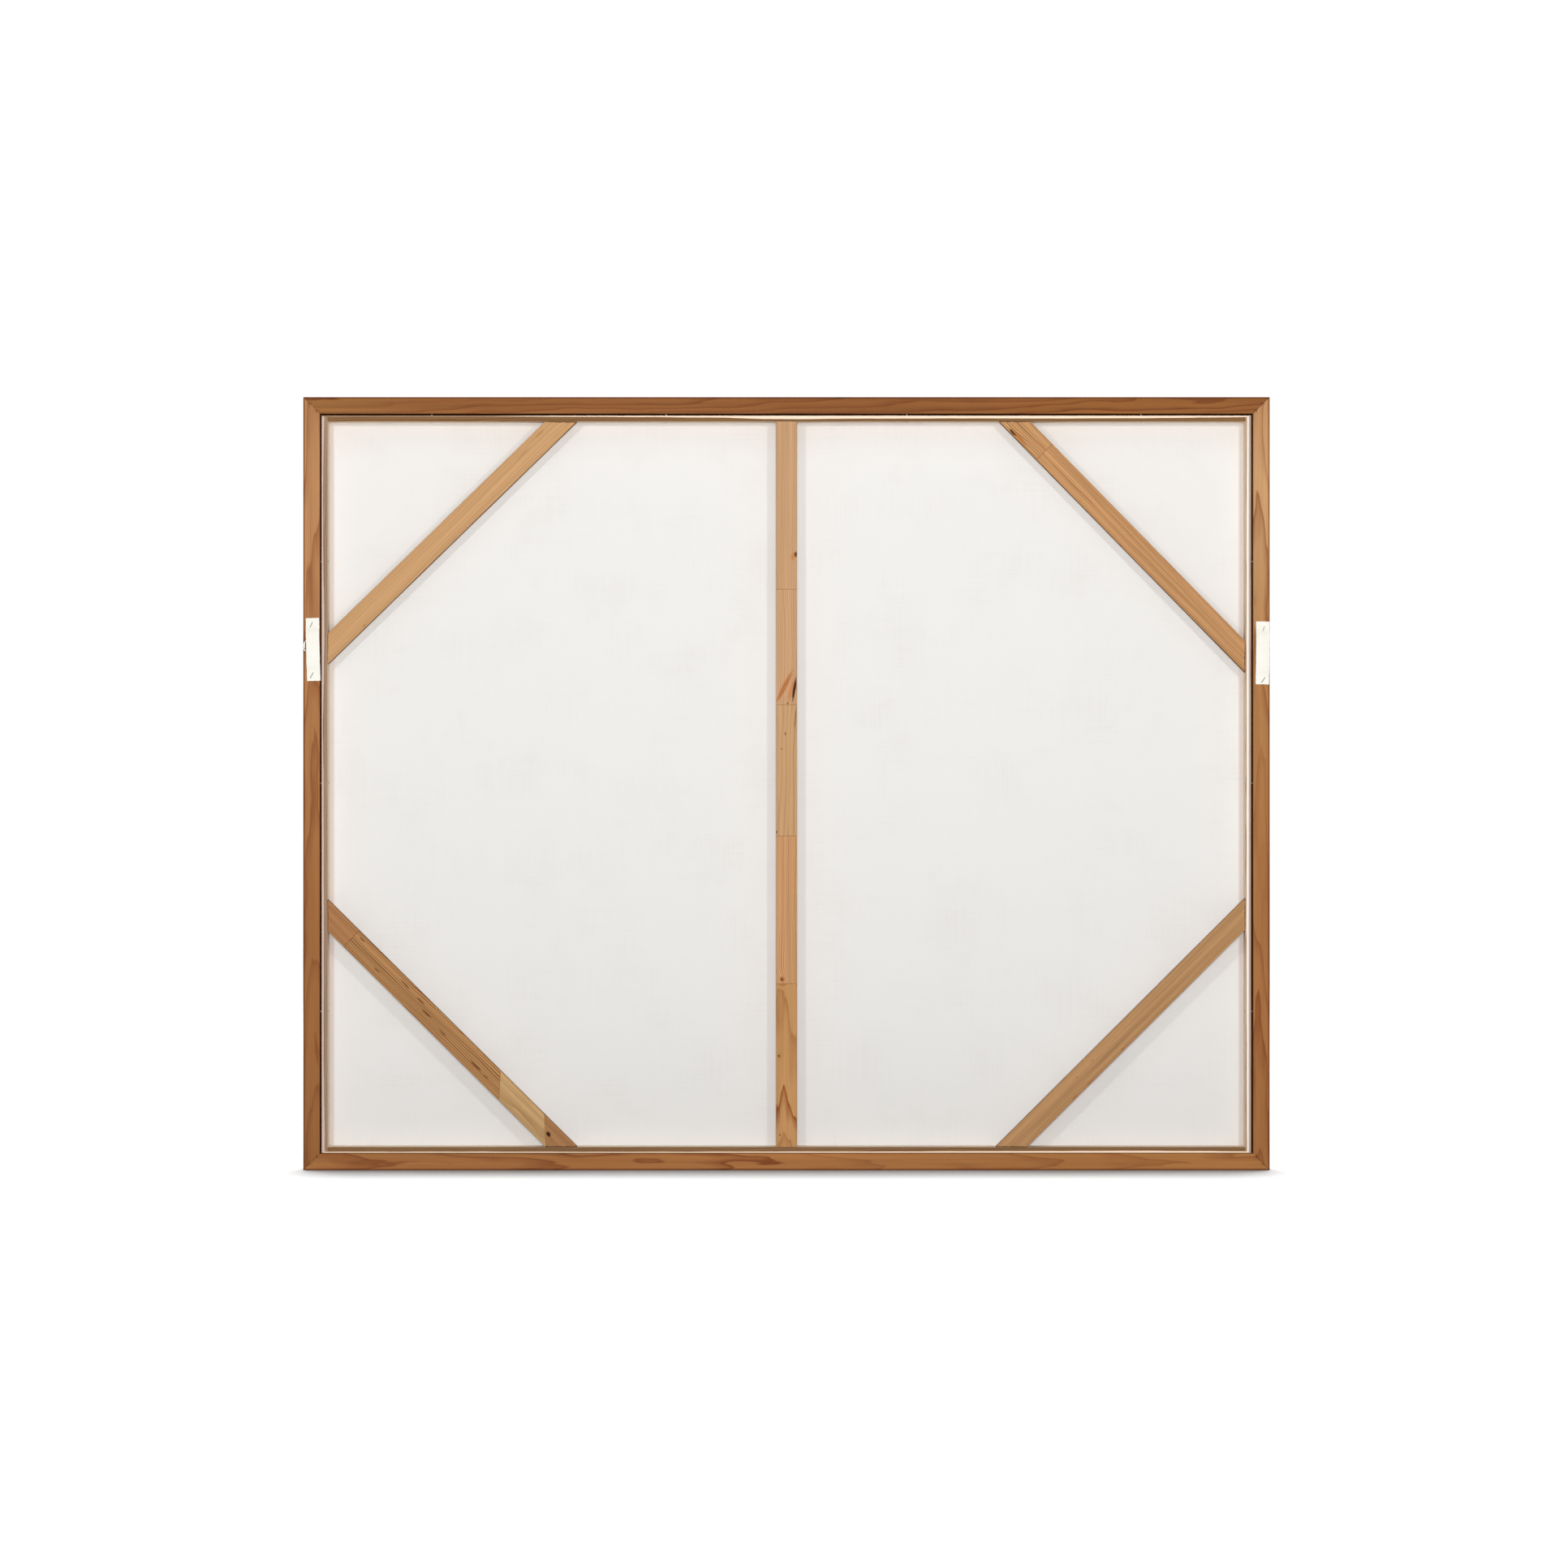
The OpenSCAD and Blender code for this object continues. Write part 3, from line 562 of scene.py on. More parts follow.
def painted_shade_at(x, z):
    """The tint of the main sheet: painted shade, darker towards the bottom, and warm painted shade along the
    side strips and under the top strip.
    """
    low_down = between([(60, 0.925), (260, 0.955), (700, 0.985), (1100, 1.0)], z / MM)
    beside = between([(16.5, 1.0), (18.5, 0.0)], min(x - cloth_low.x, cloth_high.x - x) / MM)
    under = between([(10, 0.6), (16, 0.4), (70, 0.0)], (cloth_high.z - z) / MM)
    warm_shade = max(beside, under)
    return [low_down * (1 - warm_shade * amount) for amount in (0.10, 0.17, 0.21)] + [1.0]


grid = [
    [cloth_point(cloth, (x, front + slack(x, z), z), (x, z, 0), 1.0, painted_shade_at(x, z)) for z in up_lines]
    for x in across_lines
]
columns, rows = len(across_lines) - 1, len(up_lines) - 1
for i in range(columns):
    for j in range(rows):
        cloth.faces.new((grid[i][j], grid[i][j + 1], grid[i + 1][j + 1], grid[i + 1][j]))
around = [(i, 0) for i in range(columns)] + [(columns, j) for j in range(rows)]
around += [(i, rows) for i in range(columns, 0, -1)] + [(0, j) for j in range(rows, 0, -1)]
# The cloth goes down the side, round the fold and in over the back edge to the cut
side_drop = front - cloth_low.y
profiles = {}
for edge in turned:
    radius = fold_radius[edge] * MM
    profiles[edge] = [(0.0, 0.0), (0.0, 0.35 * MM)]
    profiles[edge] += [(0.0, side_drop * share) for share in (0.15, 0.35, 0.6, 0.8)]
    for i in range(7):
        angle = math.pi / 2 * i / 6
        profiles[edge].append((radius * (1 - math.cos(angle)), side_drop - radius * (1 - math.sin(angle))))


def inset_at(edge, along, step):
    """How far in from the side the cloth is at this step of its way round the strip, and how far down."""
    profile = profiles[edge]
    if step < len(profile):
        return profile[step]
    reach = max(between(turned[edge], along / MM) + frayed(edge, along), fold_radius[edge] + 1.1)
    back_from_cut = TURN_BACK[step - len(profile)]
    if back_from_cut is None:
        return (fold_radius[edge] + reach - TURN_BACK[1]) / 2 * MM, side_drop
    return (reach - back_from_cut) * MM, side_drop


def squeezed(place, low_end, high_end, low_inset, high_inset):
    """A place along a side, moved in near the corners so that the two turned edges meet in a mitre."""
    from_low, from_high = place - low_end, high_end - place
    if from_low < MITRE:
        return low_end + low_inset + from_low * (MITRE - low_inset) / MITRE
    if from_high < MITRE:
        return high_end - high_inset - from_high * (MITRE - high_inset) / MITRE
    return place


def rim_point(i, j, step):
    """Where the rim of the cloth is at this step of its way round the strip."""
    x, z = across_lines[i], up_lines[j]
    insets = {edge: inset_at(edge, x if edge in ("top", "bottom") else z, step) for edge in turned}
    new_x = squeezed(x, cloth_low.x, cloth_high.x, insets["left"][0], insets["right"][0])
    new_z = squeezed(z, cloth_low.z, cloth_high.z, insets["bottom"][0], insets["top"][0])
    # Each corner of the rim takes its depth from the side with the wider fold
    on_edge = {"left": i == 0, "right": i == columns, "bottom": j == 0, "top": j == rows}
    here = [edge for edge, on in on_edge.items() if on]
    drop = max(insets[edge][1] for edge in here)
    return (new_x, front - drop, new_z), max(insets[edge][0] for edge in here) + drop, here[0]


rings = [[grid[i][j] for i, j in around]]
for step in range(1, len(profiles["top"]) + len(TURN_BACK)):
    loop = []
    for i, j in around:
        place, flat, edge = rim_point(i, j, step)
        outward_x, outward_z = (i == columns) - (i == 0), (j == rows) - (j == 0)
        weave = (across_lines[i] + outward_x * flat, up_lines[j] + outward_z * flat, 0)
        loop.append(cloth_point(cloth, place, weave, 1.0, painted_light_shade_at(edge, across_lines[i], step)))
    rings.append(loop)
join_loops(cloth, rings)
bmesh.ops.recalc_face_normals(cloth, faces=cloth.faces)
if sum(face.normal.y for face in cloth.faces[:500]) < 0:
    bmesh.ops.reverse_faces(cloth, faces=cloth.faces)
cloth.normal_update()


def inside(vert):
    """One thickness in from a point of the cloth, square to the faces that meet there."""
    shift = Vector((0, 0, 0))
    for face in vert.link_faces:
        for axis in range(3):
            if abs(face.normal[axis]) > abs(shift[axis]):
                shift[axis] = face.normal[axis]
    if shift.length > 1.05 and max(map(abs, shift)) < 0.999:
        shift.normalize()
    return vert.co - shift * CLOTH


thickened(cloth, inside, primed=0.0)
cloth_mesh = bpy.data.meshes.new("primed_canvas")
cloth.to_mesh(cloth_mesh)
cloth.free()
cloth_mesh.shade_smooth()
cloth_mesh.set_sharp_from_angle(angle=math.radians(50))


# Cotton duck, woven about 18 threads to the centimetre and primed white. Seen matt and slightly mottled,
# with thicker threads here and there. The weave is drawn at twice its real pitch so that it can show.
def primed_duck(name, shade, warm, bare, thread=1.1 * MM):
    """shade and warm are the mottling's tones, and bare tints the unprimed side."""
    material, tree = blank(name)
    weave = put(tree, "Attribute", attribute_name="weave").outputs["Vector"]
    primed = put(tree, "Attribute", attribute_name="primed").outputs["Fac"]
    bent = put(tree, "TexNoise", {"Vector": weave, "Scale": 60.0, "Detail": 1.0}).outputs["Color"]
    bent = put(tree, "VectorMath", {0: bent, 1: (1.2 * MM, 1.2 * MM, 0)}, operation="MULTIPLY")
    threads = put(tree, "VectorMath", {0: weave, 1: bent}, operation="ADD")
    turns = 2 * math.pi / thread
    threads = put(tree, "VectorMath", {0: threads, 1: (turns, turns, 0)}, operation="MULTIPLY")
    waves = put(tree, "VectorMath", {0: threads}, operation="SINE")
    warp, weft, _ = put(tree, "SeparateXYZ", {0: waves}).outputs
    cross = put(tree, "Math", {0: warp, 1: weft}, operation="MULTIPLY")
    slubs = []
    for stretch in ((700.0, 9.0, 0), (9.0, 700.0, 0)):
        slub = put(tree, "VectorMath", {0: weave, 1: stretch}, operation="MULTIPLY")
        slubs.append(put(tree, "TexNoise", {"Vector": slub, "Scale": 1.0, "Detail": 2.0}))
    slubs = put(tree, "Math", {0: slubs[0], 1: slubs[1]}, operation="ADD")
    cloudy = put(tree, "TexNoise", {"Vector": weave, "Scale": 9.0, "Detail": 4.0, "Roughness": 0.6})
    mixed = put(tree, "Math", {0: slubs, 1: 0.5, 2: cloudy}, operation="MULTIPLY_ADD")
    mixed = put(tree, "MapRange", {0: mixed, 1: 0.6, 2: 1.4})
    tone = put(tree, "ValToRGB", {0: mixed}, stops=[(0.0, warm), (0.5, shade)])
    gaps = put(tree, "MapRange", {0: cross, 1: -1.0, 2: 1.0, 3: 0.965, 4: 1.0})
    gaps = put(tree, "CombineColor", {0: gaps, 1: gaps, 2: gaps})
    colour = put(tree, "Mix", {0: 1.0, 6: tone, 7: gaps}, **TINTED).outputs[2]
    back = put(tree, "Mix", {0: 1.0, 6: colour, 7: linear(bare)}, **TINTED).outputs[2]
    colour = put(tree, "Mix", {0: primed, 6: back, 7: colour}, data_type="RGBA").outputs[2]
    # The points' tint: painted light and shade on the turned cloth, painted shade low down and beside the
    # strips
    light_shaded = put(tree, "Attribute", attribute_name="painted_light_shade").outputs["Color"]
    height = put(tree, "Math", {0: slubs, 1: 0.8, 2: cross}, operation="MULTIPLY_ADD")
    finish = {
        "Base Color": put(tree, "Mix", {0: 1.0, 6: colour, 7: light_shaded}, **TINTED).outputs[2],
        "Roughness": put(tree, "MapRange", {0: primed, 3: 0.92, 4: 0.78}),
        "Normal": put(tree, "Bump", {"Strength": 0.3, "Distance": 0.2 * MM, "Height": height}),
        "Specular IOR Level": 0.25,
        "Sheen Weight": 0.05,
    }
    put(tree, "OutputMaterial", {0: put(tree, "BsdfPrincipled", finish)})
    return material


canvas_cloth = primed_duck("primed_cotton_duck", "#f5f4f2", "#efedea", bare="#ecebea")
canvas = fit("stretched_canvas", cloth_mesh, canvas_cloth, "primed_canvas", "canvas")

# ---- Frame rails ----
# Four rebated pine mouldings, stained and oiled a honey brown, mitred, glued and underpinned.
# The canvas drops in from behind against a small lip. The mitres have opened a hair's breadth in places.
frame_low, frame_high = cad_low.z, cad_high.z
back, front_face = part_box("frame_rail_left")[0].y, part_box("frame_rail_left")[1].y
rail_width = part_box("frame_rail_bottom")[1].z
rebate = rail_width - 6 * MM
lip_back = cloth_high.y


def rail_section():
    """Points round a rail's section, as (height above its outer edge, depth), from its outer back edge."""
    ease, nick, round_over = 0.8 * MM, 0.3 * MM, 1.2 * MM
    near, softer = ease * 0.3, 0.35 * MM
    points = [(0, back + ease), (near, back + near), (ease, back)]
    points += [(ease + (rebate - nick - ease) * i / 24, back) for i in range(1, 24)]
    points += [(rebate - nick, back), (rebate, back + nick)]
    points += [(rebate, back + nick + (lip_back - back - nick) * i / 6) for i in range(1, 7)]
    points += [(rail_width - nick, lip_back), (rail_width, lip_back + nick)]
    points += [(rail_width, front_face - round_over), (rail_width - softer, front_face - softer)]
    points += [(rail_width - round_over - (rail_width - 2 * MM) * i / 5, front_face) for i in range(6)]
    points += [(near, front_face - near), (0, front_face - ease)]
    points += [(0, front_face - ease - (front_face - back - 2 * ease) * i / 8) for i in range(1, 8)]
    return points


# Half the gap at a mitre, in mm, at each distance in from the outer corner along the back face
mitre_gaps = {
    "tl": [
        (0, 0.03), (2.5, 0.03), (3.5, 0.16), (12, 0.16), (13, 0.04), (17, 0.04),
        (18.5, 0.24), (24, 0.24), (26, 0.12),
    ],
    "tr": [
        (0, 0.1), (3, 0.22), (6, 0.05), (9, 0.2), (13, 0.2), (15, 0.05), (20, 0.22),
        (24, 0.22), (26, 0.1),
    ],
    "bl": [(0, 0.05), (5, 0.12), (8, 0.3), (12, 0.06), (16, 0.32), (20, 0.1), (24, 0.2), (26, 0.1)],
    "br": [(0, 0.03), (3, 0.1), (8, 0.26), (13, 0.05), (15, 0.3), (22, 0.3), (24, 0.06), (26, 0.04)],
}


def add_rail(bm, half_length, place, pith, rings, corners, steps=40):
    """Adds one mitred rail, with the named corner's gap at its start and at its stop."""
    section = rail_section()
    ends, seams = [], []
    for across, deep in section:
        at_back = deep < back + 2 * MM
        gaps = [between(mitre_gaps[corner], across / MM) if at_back else 0.04 for corner in corners]
        start, stop = [gap * MM * math.sqrt(2) for gap in gaps]
        ends.append((-half_length + across + start, half_length - across - stop))
        # The outer back edge is painted darker: painted shade along the frame's outer edge
        seams.append(0.8 if at_back and across < 1.9 * MM else 0.0)
    loops = []
    for share in [i / steps for i in range(steps + 1)]:
        alongs = [start + (stop - start) * share for start, stop in ends]
        loops.append(wood_loop(bm, section, alongs, place, pith, rings, ["#a26c42"] * len(section), seams))
    join_loops(bm, loops)
    bm.faces.new(loops[0])
    bm.faces.new(loops[-1])


half_wide, half_tall = (cad_high.x - cad_low.x) / 2, (frame_high - frame_low) / 2
middle_z = (frame_low + frame_high) / 2
rail_places = {
    "top": lambda along, across, deep: (along, deep, frame_high - across),
    "bottom": lambda along, across, deep: (along, deep, frame_low + across),
    "left": lambda along, across, deep: (cad_low.x + across, deep, middle_z + along),
    "right": lambda along, across, deep: (cad_high.x - across, deep, middle_z + along),
}
# Each rail's pith and rings (taper, spacing, contrast), its corners, and its colours from end to end
rails = {
    "top": ((2.0, -0.004, 0.03), (0.014, 3.6 * MM, 1.0), ("tl", "tr"), [
        (0.0, "#976637"), (0.12, "#8c582c"), (0.35, "#8a562b"), (0.6, "#835026"),
        (0.85, "#8e5828"), (1.0, "#895528"),
    ]),
    "bottom": ((6.0, 0.01, 0.035), (0.016, 4.0 * MM, 1.0), ("bl", "br"), [
        (0.0, "#a26a3b"), (0.3, "#9e6737"), (0.6, "#a66e3c"), (0.85, "#a46d3a"), (1.0, "#a6703d"),
    ]),
    "left": ((4.0, 0.02, 0.03), (0.020, 4.4 * MM, 0.9), ("bl", "tl"), [
        (0.0, "#8e5c31"), (0.35, "#976235"), (0.6, "#a36f42"), (0.72, "#ae7b4e"),
        (0.9, "#b28054"), (1.0, "#a9774c"),
    ]),
    "right": ((9.0, 0.02, 0.03), (0.022, 4.4 * MM, 0.9), ("br", "tr"), [
        (0.0, "#986336"), (0.35, "#9f693a"), (0.62, "#a77444"), (0.78, "#b4875a"),
        (0.9, "#be9165"), (1.0, "#b08155"),
    ]),
}
for edge, (pith, rings, corners, colours) in rails.items():
    name = "frame_rail_" + edge
    half_length, end = (half_wide, 762) if edge in ("top", "bottom") else (half_tall, 610)
    wood = bmesh.new()
    add_rail(wood, half_length, rail_places[edge], pith, rings, corners)
    stained = pine(
        "stained_oiled_pine_" + edge, late="#b98d66", tones=(-end, end, colours),
        rough=(0.48, 0.62), fibre=0.2, shine=0.08,
    )
    fit("moulding_" + edge, finished(wood, name, 30), stained, "stained_pine", name)

# ---- Nails, pins and V-nails ----
# Bright steel wire nails through the strips into their neighbours, thin pins that tack the strainer into
# the frame, and small folded V-nails pressed across the frame's mitres from behind.


def start_tree(name, sizes):
    """A node tree whose inputs are the places and these sizes in metres."""
    tree = bpy.data.node_groups.new(name, "GeometryNodeTree")
    tree.interface.new_socket("Places", in_out="INPUT", socket_type="NodeSocketGeometry")
    for size, value in sizes.items():
        tree.interface.new_socket(size, in_out="INPUT", socket_type="NodeSocketFloat").default_value = value
    tree.interface.new_socket("Made", in_out="OUTPUT", socket_type="NodeSocketGeometry")
    return tree, put(tree, "NodeGroupInput").outputs


def end_tree(tree, given, shape, material):
    """Sets the shape on every place, turned and stretched as the place says."""
    turn = put(tree, "GeometryNodeInputNamedAttribute", {"Name": "turn"}, data_type="FLOAT_VECTOR")
    stretch = put(tree, "GeometryNodeInputNamedAttribute", {"Name": "stretch"}, data_type="FLOAT_VECTOR")
    each = {"Points": given["Places"], "Instance": shape, "Scale": stretch,
            "Rotation": put(tree, "FunctionNodeEulerToRotation", {0: turn})}
    real = put(tree, "GeometryNodeRealizeInstances", {0: put(tree, "GeometryNodeInstanceOnPoints", each)})
    coloured = put(tree, "GeometryNodeSetMaterial", {"Geometry": real, "Material": material})
    put(tree, "NodeGroupOutput", {0: coloured})
    return tree


def fastener_tree(name, material, sizes):
    """A nail along Z: a chamfered flat head, a shank and a drawn point."""
    tree, given = start_tree(name, sizes)
    shank = put(tree, "Math", {0: given["Shank"], 1: 0.5}, operation="MULTIPLY")
    head = put(tree, "Math", {0: given["Head"], 1: 0.5}, operation="MULTIPLY")
    crown = put(tree, "Math", {0: head, 1: 0.8}, operation="MULTIPLY")
    tip = put(tree, "Math", {0: given["Shank"], 1: 1.6}, operation="MULTIPLY")
    run = put(tree, "Math", {0: given["Length"], 1: tip}, operation="SUBTRACT")
    middle = put(tree, "CombineXYZ", {2: put(tree, "Math", {0: run, 1: 0.5}, operation="MULTIPLY")})
    rod = put(tree, "GeometryNodeMeshCylinder", {"Vertices": 12, "Radius": shank, "Depth": run})
    rod = put(tree, "GeometryNodeTransform", {"Geometry": rod, "Translation": middle})
    point = put(tree, "GeometryNodeMeshCone", {"Vertices": 12, "Radius Bottom": shank, "Depth": tip})
    back_of_tip = put(tree, "CombineXYZ", {2: run})
    point = put(tree, "GeometryNodeTransform", {"Geometry": point, "Translation": back_of_tip})
    cap = {"Vertices": 20, "Radius Top": crown, "Radius Bottom": head, "Depth": given["Head Depth"]}
    over = put(tree, "GeometryNodeMeshCone", cap)
    over = put(tree, "GeometryNodeTransform", {"Geometry": over, "Rotation": Euler((math.pi, 0, 0))})
    over_by = put(tree, "CombineXYZ", {2: given["Head Depth"]})
    over = put(tree, "GeometryNodeTransform", {"Geometry": over, "Translation": over_by})
    joined = put(tree, "GeometryNodeJoinGeometry")
    for piece in (rod, point, over):
        tree.links.new(piece.outputs[0], joined.inputs[0])
    return end_tree(tree, given, joined, material)


def from_tree(name, places, tree, sizes):
    """The plain mesh of a node tree run on points given as (place, turn, and length share if not 1)."""
    points = bpy.data.meshes.new(name + "_places")
    points.from_pydata([tuple(place[0]) for place in places], [], [])
    turns = points.attributes.new("turn", "FLOAT_VECTOR", "POINT")
    stretches = points.attributes.new("stretch", "FLOAT_VECTOR", "POINT")
    for number, (place, turn, *stretch) in enumerate(places):
        turns.data[number].vector = turn
        stretches.data[number].vector = (1, 1, stretch[0] if stretch else 1)
    holder = bpy.data.objects.new(name + "_places", points)
    bpy.context.scene.collection.objects.link(holder)
    modifier = holder.modifiers.new("made", "NODES")
    modifier.node_group = tree
    for item in tree.interface.items_tree:
        if item.in_out == "INPUT" and item.name in sizes:
            modifier[item.identifier] = sizes[item.name]
    mesh = bpy.data.meshes.new_from_object(holder.evaluated_get(bpy.context.evaluated_depsgraph_get()))
    holder.modifiers.remove(modifier)
    bpy.data.objects.remove(holder)
    mesh.name = name
    mesh.shade_smooth()
    mesh.set_sharp_from_angle(angle=math.radians(40))
    return mesh


# Drawn steel wire, bright or galvanised. The eye sees a hard, fairly sharp shine broken by drawing marks.
def steel(name, shade, dull, rough, grain=900.0, depth=0.06 * MM):
    material, tree = blank(name)
    here = put(tree, "TexCoord").outputs["Object"]
    fine = put(tree, "TexNoise", {"Vector": here, "Scale": grain, "Detail": 3.0})
    broad = put(tree, "TexNoise", {"Vector": here, "Scale": grain / 6, "Detail": 2.0})
    mixed = put(tree, "MapRange", {0: broad, 1: 0.35, 2: 0.65})
    colour = put(tree, "Mix", {0: mixed, 6: linear(dull), 7: linear(shade)}, data_type="RGBA")
    finish = {
        "Base Color": colour.outputs[2],
        "Roughness": put(tree, "MapRange", {0: fine, 1: 0.3, 2: 0.7, 3: rough[0], 4: rough[1]}),
        "Normal": put(tree, "Bump", {"Strength": 0.25, "Distance": depth, "Height": fine}),
        "Metallic": 1.0,
    }
    put(tree, "OutputMaterial", {0: put(tree, "BsdfPrincipled", finish)})
    return material


bright_wire = steel("bright_drawn_steel", "#b9b8b4", "#8f8d88", (0.25, 0.42))
wire_nail = {"Length": 30 * MM, "Shank": 2 * MM, "Head": 3.6 * MM, "Head Depth": 0.7 * MM}
nail_tree = fastener_tree("wire_nail", bright_wire, wire_nail)
TOWARDS = {"+x": (0, math.pi / 2, 0), "-x": (0, -math.pi / 2, 0), "+z": (0, 0, 0), "-z": (math.pi, 0, 0)}
nail_spread = 9 * MM
nail_low, nail_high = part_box("strainer_corner_nails")
top_low, top_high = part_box("strainer_rail_top")
bottom_low, bottom_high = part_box("strainer_rail_bottom")
strip_y = (top_low.y + top_high.y) / 2
places = []
for z in ((bottom_low.z + bottom_high.z) / 2, (top_low.z + top_high.z) / 2):
    for dy in (-nail_spread, nail_spread):
        places.append(((nail_low.x, strip_y + dy, z), TOWARDS["+x"]))
        places.append(((nail_high.x, strip_y + dy, z), TOWARDS["-x"]))
corner_nails = from_tree("corner_nails", places, nail_tree, wire_nail)
fit("corner_nails", corner_nails, bright_wire, "bright_steel", "strainer_corner_nails")

nail_low, nail_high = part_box("brace_nails")
brace_y = (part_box("center_brace")[0].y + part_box("center_brace")[1].y) / 2
places = []
for z, way in ((nail_low.z, "+z"), (nail_high.z, "-z")):
    places += [((dx, brace_y, z), TOWARDS[way]) for dx in (-nail_spread, nail_spread)]
# Two nails in each end of a corner brace, at these shares of its slanted end, which starts about 342 mm out
brace_reach, end_width = 342, brace_width * math.sqrt(2)
slips = ((1, -8), (-3, 4), (2, -1), (2, 1))
for (side, up, *_), (slip_level, slip_upright) in zip(corner_braces.values(), slips):
    for share in (0.2, 0.45):
        x = side * (inner_x - (brace_reach + slip_level) * MM - share * end_width)
        from_level = (brace_reach + slip_upright) * MM + share * end_width
        z = (inner_high if up > 0 else inner_low) - up * from_level
        level_z = nail_high.z if up > 0 else nail_low.z
        places.append(((x, brace_y, level_z), TOWARDS["-z" if up > 0 else "+z"]))
        places.append(((side * nail_high.x, brace_y, z), TOWARDS["-x" if side > 0 else "+x"]))
brace_nails = from_tree("nails_in_braces", places, nail_tree, wire_nail)
fit("nails_in_braces", brace_nails, bright_wire, "bright_steel", "brace_nails")

pin_low, pin_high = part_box("fixing_pins")
pin_y = (pin_low.y + pin_high.y) / 2
pin = {"Length": 24.7 * MM, "Shank": 1.5 * MM, "Head": 3 * MM, "Head Depth": 0.6 * MM}
pin_head = pin["Head Depth"]
places = []
for z in (250 * MM, 610 * MM, 960 * MM):
    places.append(((pin_head - inner_x, pin_y, z), TOWARDS["-x"]))
    places.append(((inner_x - pin_head, pin_y, z), TOWARDS["+x"]))
# The gap to the frame is 2 mm wider over the top strip than under the bottom one
for x in (-560 * MM, -190 * MM, 190 * MM, 560 * MM):
    places.append(((x, pin_y, inner_high - pin_head), TOWARDS["+z"], 25.0 / 24.7))
    places.append(((x, pin_y, inner_low + pin_head), TOWARDS["-z"], 23.0 / 24.7))
pins = from_tree("tacking_pins", places, nail_tree, pin)
fit("tacking_pins", pins, bright_wire, "bright_steel", "fixing_pins")


def from_frame(node, join_below, keep_above, ease, segments):
    """A frame node's own shape, its flat faces whole again and its edges sharper than an angle eased."""
    shape = bmesh.new()
    shape.from_mesh(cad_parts[node].data)
    bmesh.ops.remove_doubles(shape, verts=shape.verts, dist=0.001 * MM)
    flat = math.radians(join_below)
    bmesh.ops.dissolve_limit(shape, angle_limit=flat, verts=shape.verts, edges=shape.edges)
    sharp = [edge for edge in shape.edges if edge.is_manifold and edge.calc_face_angle(0) > keep_above]
    shared = {"offset": ease, "segments": segments, "clamp_overlap": segments > 1}
    bmesh.ops.bevel(shape, geom=sharp, affect="EDGES", **shared)
    return shape


blued_strip = steel("blued_spring_steel", "#5d5a58", "#45413e", (0.35, 0.5))
v_nails = finished(from_frame("frame_v_nails", 2, 0.5, 0.08 * MM, 1), "mitre_v_nails")
fit("mitre_v_nails", v_nails, blued_strip, "dark_steel", "frame_v_nails")

# ---- Staples ----
# Fine-wire staples hold the canvas to the strips' sides and the cloth strips to the frame.
# Square wire with rounded shoulders, shot in with the crown lying on the cloth.


def staple_tree(name, material, sizes):
    """A staple with its crown on the point, along X, and its legs along -Z."""
    tree, given = start_tree(name, sizes)
    wire, half_turn = given["Wire"], math.pi / 2
    crown = put(tree, "Math", {0: given["Crown"], 1: wire}, operation="SUBTRACT")
    half_wire = put(tree, "Math", {0: wire, 1: 0.5}, operation="MULTIPLY")
    leg = put(tree, "Math", {0: given["Leg"], 1: half_wire}, operation="ADD")
    length = put(tree, "Math", {0: leg, 1: 2.0, 2: crown}, operation="MULTIPLY_ADD")
    # A closed rectangle cut open along its last side is a crown with two legs
    bent = put(tree, "GeometryNodeCurvePrimitiveQuadrilateral", {"Width": leg, "Height": crown})
    bent = put(tree, "GeometryNodeTrimCurve", {"Curve": bent, 4: 0.0, 5: length}, mode="LENGTH")
    rounded = {"Curve": bent, "Count": 3, "Radius": given["Shoulder"]}
    bent = put(tree, "GeometryNodeFilletCurve", rounded, mode="POLY")
    square = put(tree, "GeometryNodeCurvePrimitiveQuadrilateral", {"Width": wire, "Height": wire})
    eased = {"Curve": square, "Count": 1, "Radius": 0.12 * MM}
    square = put(tree, "GeometryNodeFilletCurve", eased, mode="POLY")
    solid = put(tree, "GeometryNodeCurveToMesh", {"Curve": bent, "Profile Curve": square, "Fill Caps": True})
    # Its left side is the crown, so it is turned over until the legs point down and the crown lies along X
    for turn in ((0, half_turn, 0), (0, 0, half_turn)):
        solid = put(tree, "GeometryNodeTransform", {"Geometry": solid, "Rotation": Euler(turn)})
    sunk = put(tree, "Math", {0: leg, 1: -0.5, 2: half_wire}, operation="MULTIPLY_ADD")
    sink = put(tree, "CombineXYZ", {2: sunk})
    solid = put(tree, "GeometryNodeTransform", {"Geometry": solid, "Translation": sink})
    return end_tree(tree, given, solid, material)


staple_steel = steel("galvanised_staple_wire", "#a3a3a1", "#7b7b79", (0.32, 0.5))
side_staple = {"Crown": 10.5 * MM, "Leg": 7.5 * MM, "Wire": 0.8 * MM, "Shoulder": 0.7 * MM}
side_staple_tree = staple_tree("wire_staple", staple_steel, side_staple)
end_margin, pitch = 45 * MM, 75 * MM
across = cloth_high.x - cloth_low.x - 2 * end_margin
upward = cloth_high.z - cloth_low.z - 2 * end_margin
across_count, upward_count = math.ceil(across / pitch), math.ceil(upward / pitch)
tilt = random.Random(11)
places = []
for i in range(across_count + 1):
    x = cloth_low.x + end_margin + across * i / across_count
    places.append(((x, strip_y, cloth_high.z), (0, 0, tilt.uniform(-0.02, 0.02))))
    places.append(((x, strip_y, cloth_low.z), (math.pi, 0, tilt.uniform(-0.02, 0.02))))
